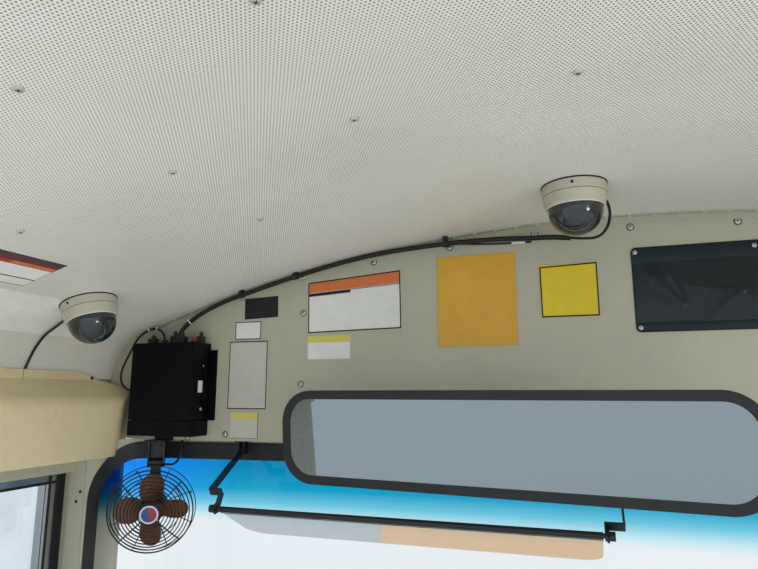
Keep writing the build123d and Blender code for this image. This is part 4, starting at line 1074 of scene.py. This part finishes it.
def cable_ties():
    """Ties on the harness and on the recorder's side lead."""
    ties = Forms()
    for place, along, radius in TIES:
        ties.add(*tie(at(*place), along, radius))
    ties.make("cable_ties", "tie_white")


# Sleeve: place and direction in millimetres, and shape (radius, length)
SLEEVE_AT = (-178, -102, 1333.5)
SLEEVE_ALONG = (38, -0.5, -0.5)
SLEEVE = [(0.0021, 0), (0.0032, 0), (0.0032, 0.026), (0.0021, 0.026)]


def signal_sleeve():
    """White sleeve on the thin signal lead."""
    sleeve = lathe(SLEEVE, at(*SLEEVE_AT), SLEEVE_ALONG, 20, closed=True)
    make("signal_sleeve", *sleeve, "tie_white", smooth=True)


# Dome cameras: places, and shapes (radius, height) of the black ring of painted shadow at the base and of
# the lens bezel
CAMERA_SPOTS = ((-0.056, -0.303), (-0.963, -0.372))
GAP_SHADOW_RING = [(0.0500, 0.0002), (0.0522, 0.0002), (0.0518, 0.0024), (0.0500, 0.0024)]
BEZEL = [(0.0095, 0.0), (0.0132, 0.0), (0.0126, 0.0016), (0.0100, 0.0016)]
# Bright rim: inner radius, depth and the radius of its section
RIM_INNER = 0.0436
RIM_DEPTH = 0.0380
RIM_ROUND = 0.0009
RIM_STEPS = 10
# Lens: angle from straight down, depth and reach of its middle, radius, and its domed face
EYE_LEAN = 35
EYE_DEPTH = 0.041
EYE_REACH = 0.020
LENS_R = 0.0098
LENS_BACK = -0.0002
LENS_FOOT = -0.001
LENS_RISE = 0.0034
LENS_ANGLES = (1.4, 1.1, 0.8, 0.5, 0.25)
# Screw in the shell's side: depth, offset and direction
SIDE_SCREW_DEPTH = 0.009
SIDE_SCREW_AT = (-0.0025, -0.0504, 0)
SIDE_SCREW_AXIS = (-0.05, -1, 0)
SIDE_SCREW_R = 0.0024


def rim_shape():
    """Round section of the bright rim."""
    turns = [pi * 2 / RIM_STEPS * i for i in range(RIM_STEPS)]
    return [(RIM_INNER + RIM_ROUND * (1 + cos(a)), RIM_DEPTH + RIM_ROUND * sin(a)) for a in turns]


def lens_shape():
    """Flat back and domed face of a lens."""
    face = [(LENS_R * sin(a), LENS_FOOT + LENS_RISE * cos(a)) for a in LENS_ANGLES]
    return [(0, LENS_BACK)] + face + [(0, LENS_FOOT + LENS_RISE)]


def camera_details():
    """Black ring of painted shadow at the base, rim, bezel, lens and side screw of each camera."""
    seals, rims, lenses, bezels = Forms(), Forms(), Forms(), Forms()
    spots = []
    for x, y in CAMERA_SPOTS:
        z, down = ceiling(x)
        place = Vector((x, y, z))
        # Black ring where the base meets the ceiling: painted shadow of the gap there
        seals.add(lathe(GAP_SHADOW_RING, place, down, 48, closed=True))
        rims.add(lathe(rim_shape(), place, down, 48, closed=True))
        turn = Matrix.Rotation(asin(x / ROOF_R), 3, "Y")
        look = turn @ Vector((0, -sin(radians(EYE_LEAN)), -cos(radians(EYE_LEAN))))
        eye = place + down * EYE_DEPTH + look * EYE_REACH
        bezels.add(lathe(BEZEL, eye, look, 32, closed=True))
        lenses.add(lathe(lens_shape(), eye, look, 32))
        spots.append((place + down * SIDE_SCREW_DEPTH + Vector(SIDE_SCREW_AT), SIDE_SCREW_AXIS))
    seals.make("camera_gap_shadows", "black_rubber", smooth=True)
    rims.make("camera_rims", "bright_rim", smooth=True, sharp=80)
    bezels.make("camera_bezels", "bright_rim", smooth=True)
    lenses.make("camera_lenses", "lens_glass", smooth=True, sharp=70)
    screws("camera_screws", spots, SIDE_SCREW_R, "dark_screw", "black_plastic")


# Side covers: inner face, screws, and the joint (y, z) in millimetres
COVER_FACE = 1.141
COVER_SCREW_YS = (-0.161, -0.960)
COVER_SCREW_Z = 1.073
COVER_SCREW_R = 0.0042
COVER_JOINT = ((-345.6, 1068), (-344.8, 1087))
JOINT_IN = 0.0006
JOINT_OUT = 0.0001
# Screws (x, z) of the pillar covers
PILLAR_SCREWS = ((1.126, 0.805), (1.117, 0.826))
PILLAR_SCREW_R = 0.0036


def cover_details():
    """Screws and joints of the side covers, and the screws of the pillar covers."""
    spots, pillar, joints = [], [], Forms()
    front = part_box("a_pillar_cover_left")[0].y
    (y0, z0), (y1, z1) = COVER_JOINT
    for side in (-1, 1):
        for y in COVER_SCREW_YS:
            spots.append((Vector((side * COVER_FACE, y, COVER_SCREW_Z)), (-side, 0, 0)))
        low, high = sorted((side * (COVER_FACE + JOINT_IN) / MM, side * (COVER_FACE - JOINT_OUT) / MM))
        joints.add(brick((low, y0, z0), (high, y1, z1)))
        for x, z in PILLAR_SCREWS:
            pillar.append((Vector((side * x, front, z)), (0, -1, 0)))
    screws("cover_screws", spots, COVER_SCREW_R, "dark_screw", "black_plastic")
    screws("pillar_screws", pillar, PILLAR_SCREW_R, "dark_screw", "black_plastic")
    joints.make("cover_joints", "black_plastic")


# Window seals in millimetres: rise, sink, how much less the level ones rise, and inset
SEAL_RISE = 2.4
SEAL_SINK = 0.2
LEVEL_LOWER = 0.4
SEAL_INSET = 2
# Where each seal starts and ends beside the edge it follows
UPRIGHT_SEALS = ((-24, -2), (-3, 2), (-2, 3), (2, 6))
LEVEL_SEALS = ((-5, -1), (-3, 2), (-2, 3))


def window_seals():
    """Track and rubber seals on the inner face of the driver's window frame."""
    low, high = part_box("driver_window_frame")
    glass_low, glass_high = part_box("driver_window_panes")
    x0, x1 = high.x / MM - SEAL_SINK, high.x / MM + SEAL_RISE
    (y0, y1), (z0, z1) = (low.y / MM, high.y / MM), (low.z / MM, high.z / MM)
    (g0, g1), (h0, h1) = (glass_low.y / MM, glass_high.y / MM), (glass_low.z / MM, glass_high.z / MM)
    seals = Forms()
    for edge, (a, b) in zip((y1, g1, g0, y0), UPRIGHT_SEALS):
        seals.add(brick((x0, edge + a, z0 + SEAL_INSET), (x1, edge + b, z1 - SEAL_INSET)))
    for edge, (a, b) in zip((z1, h1, h0), LEVEL_SEALS):
        seals.add(brick((x0, y0 + SEAL_INSET, edge + a), (x1 - LEVEL_LOWER, y1 - SEAL_INSET, edge + b)))
    seals.make("window_seals", "black_rubber")


# Roof rivets: shape, number each side, pitch and rows
ROOF_RIVET = [
    (0, -0.0004), (0.0046, -0.0004), (0.0044, 0.0008), (0.003, 0.0022), (0.0014, 0.0029), (0, 0.003),
]
ROOF_RIVETS = 20
ROOF_PITCH = 0.052
ROOF_ROWS = (SPLIT_Y - 0.014, REAR_Y + 0.018)


def roof_rivets():
    """Rows of rivets on the roof at its joint with the cap and at its rear end."""
    spots = []
    outer = ROOF_R + ROOF_T
    for y in ROOF_ROWS:
        for i in range(-ROOF_RIVETS, ROOF_RIVETS + 1):
            lean = i * ROOF_PITCH / outer
            normal = Vector((sin(lean), 0, cos(lean)))
            spots.append((Vector((0, y, APEX_Z - ROOF_R)) + normal * outer, normal))
    heads("roof_rivets", ROOF_RIVET, spots, "yellow_body")


# Camera, light and floor
def set_camera():
    """The photograph's camera."""
    data = bpy.data.cameras.new("camera")
    data.lens = CAMERA_LENS
    data.sensor_width = SENSOR_WIDTH
    data.clip_start = NEAREST
    camera = placed("camera", data)
    camera.location = CAMERA_AT
    camera.rotation_euler = (radians(90 + CAMERA_PITCH), 0, radians(CAMERA_YAW))
    bpy.context.scene.camera = camera


SKY_COLOUR = (0.90, 0.95, 1.0, 1)
SKY_STRENGTH = 1.12


def set_world():
    """Even daylight from a pale sky."""
    world = bpy.data.worlds.new("studio")
    bpy.context.scene.world = world
    world.use_nodes = True
    sky = next(n for n in world.node_tree.nodes if n.type == "BACKGROUND")
    sky.inputs["Color"].default_value = SKY_COLOUR
    sky.inputs["Strength"].default_value = SKY_STRENGTH
    bpy.context.scene.view_settings.view_transform = "Standard"


WARM = (1.0, 0.99, 0.96)
COOL = (0.95, 0.98, 1.0)
# Lights: name, place, aim, size, watts, colour, spread, and whether mirrors show it
LIGHTS = (
    ("cabin_fill", (0.75, -1.7, 0.35), (-0.5, -0.45, 1.3), (1.8, 1.4), 4.6, WARM, 180, False),
    ("ceiling_fill", (-0.1, -0.95, 0.3), (-0.1, -0.93, 1.3), (2.0, 0.8), 2.0, WARM, 180, False),
    ("side_window", (1.6, -1.5, 0.95), (-0.1, -0.3, 1.2), (0.6, 0.4), 3.0, COOL, 125, True),
)


def area_light(name, place, aim, size, watts, colour, spread, glossy):
    """Flat lamp that faces its aim."""
    data = bpy.data.lights.new(name, "AREA")
    data.shape = "RECTANGLE"
    data.size, data.size_y = size
    data.energy = watts
    data.color = colour
    data.spread = radians(spread)
    lamp = placed(name, data)
    lamp.location = place
    lamp.rotation_euler = (Vector(place) - Vector(aim)).to_track_quat("Z", "Y").to_euler()
    lamp.visible_glossy = glossy


FLOOR_HALF = 30


def set_floor():
    """Plain pale floor, which isn't part of the object."""
    half = FLOOR_HALF
    verts = [(-half, -half, 0), (half, -half, 0), (half, half, 0), (-half, half, 0)]
    data = bpy.data.meshes.new("floor")
    data.from_pydata(verts, [], [(0, 1, 2, 3)])
    data.materials.append(Finish("floor", srgb(232, 233, 232), 0.7).material)
    placed("floor", data)


dress_nodes()
headliner()
header_labels()
header_screws()
seam_rivets()
ceiling_screws()
shoulder_labels()
pouch()
fan_guard()
fan_badge()
recorder_side()
recorder_top()
cable_ties()
signal_sleeve()
camera_details()
cover_details()
window_seals()
roof_rivets()
set_camera()
set_world()
for light in LIGHTS:
    area_light(*light)
set_floor()
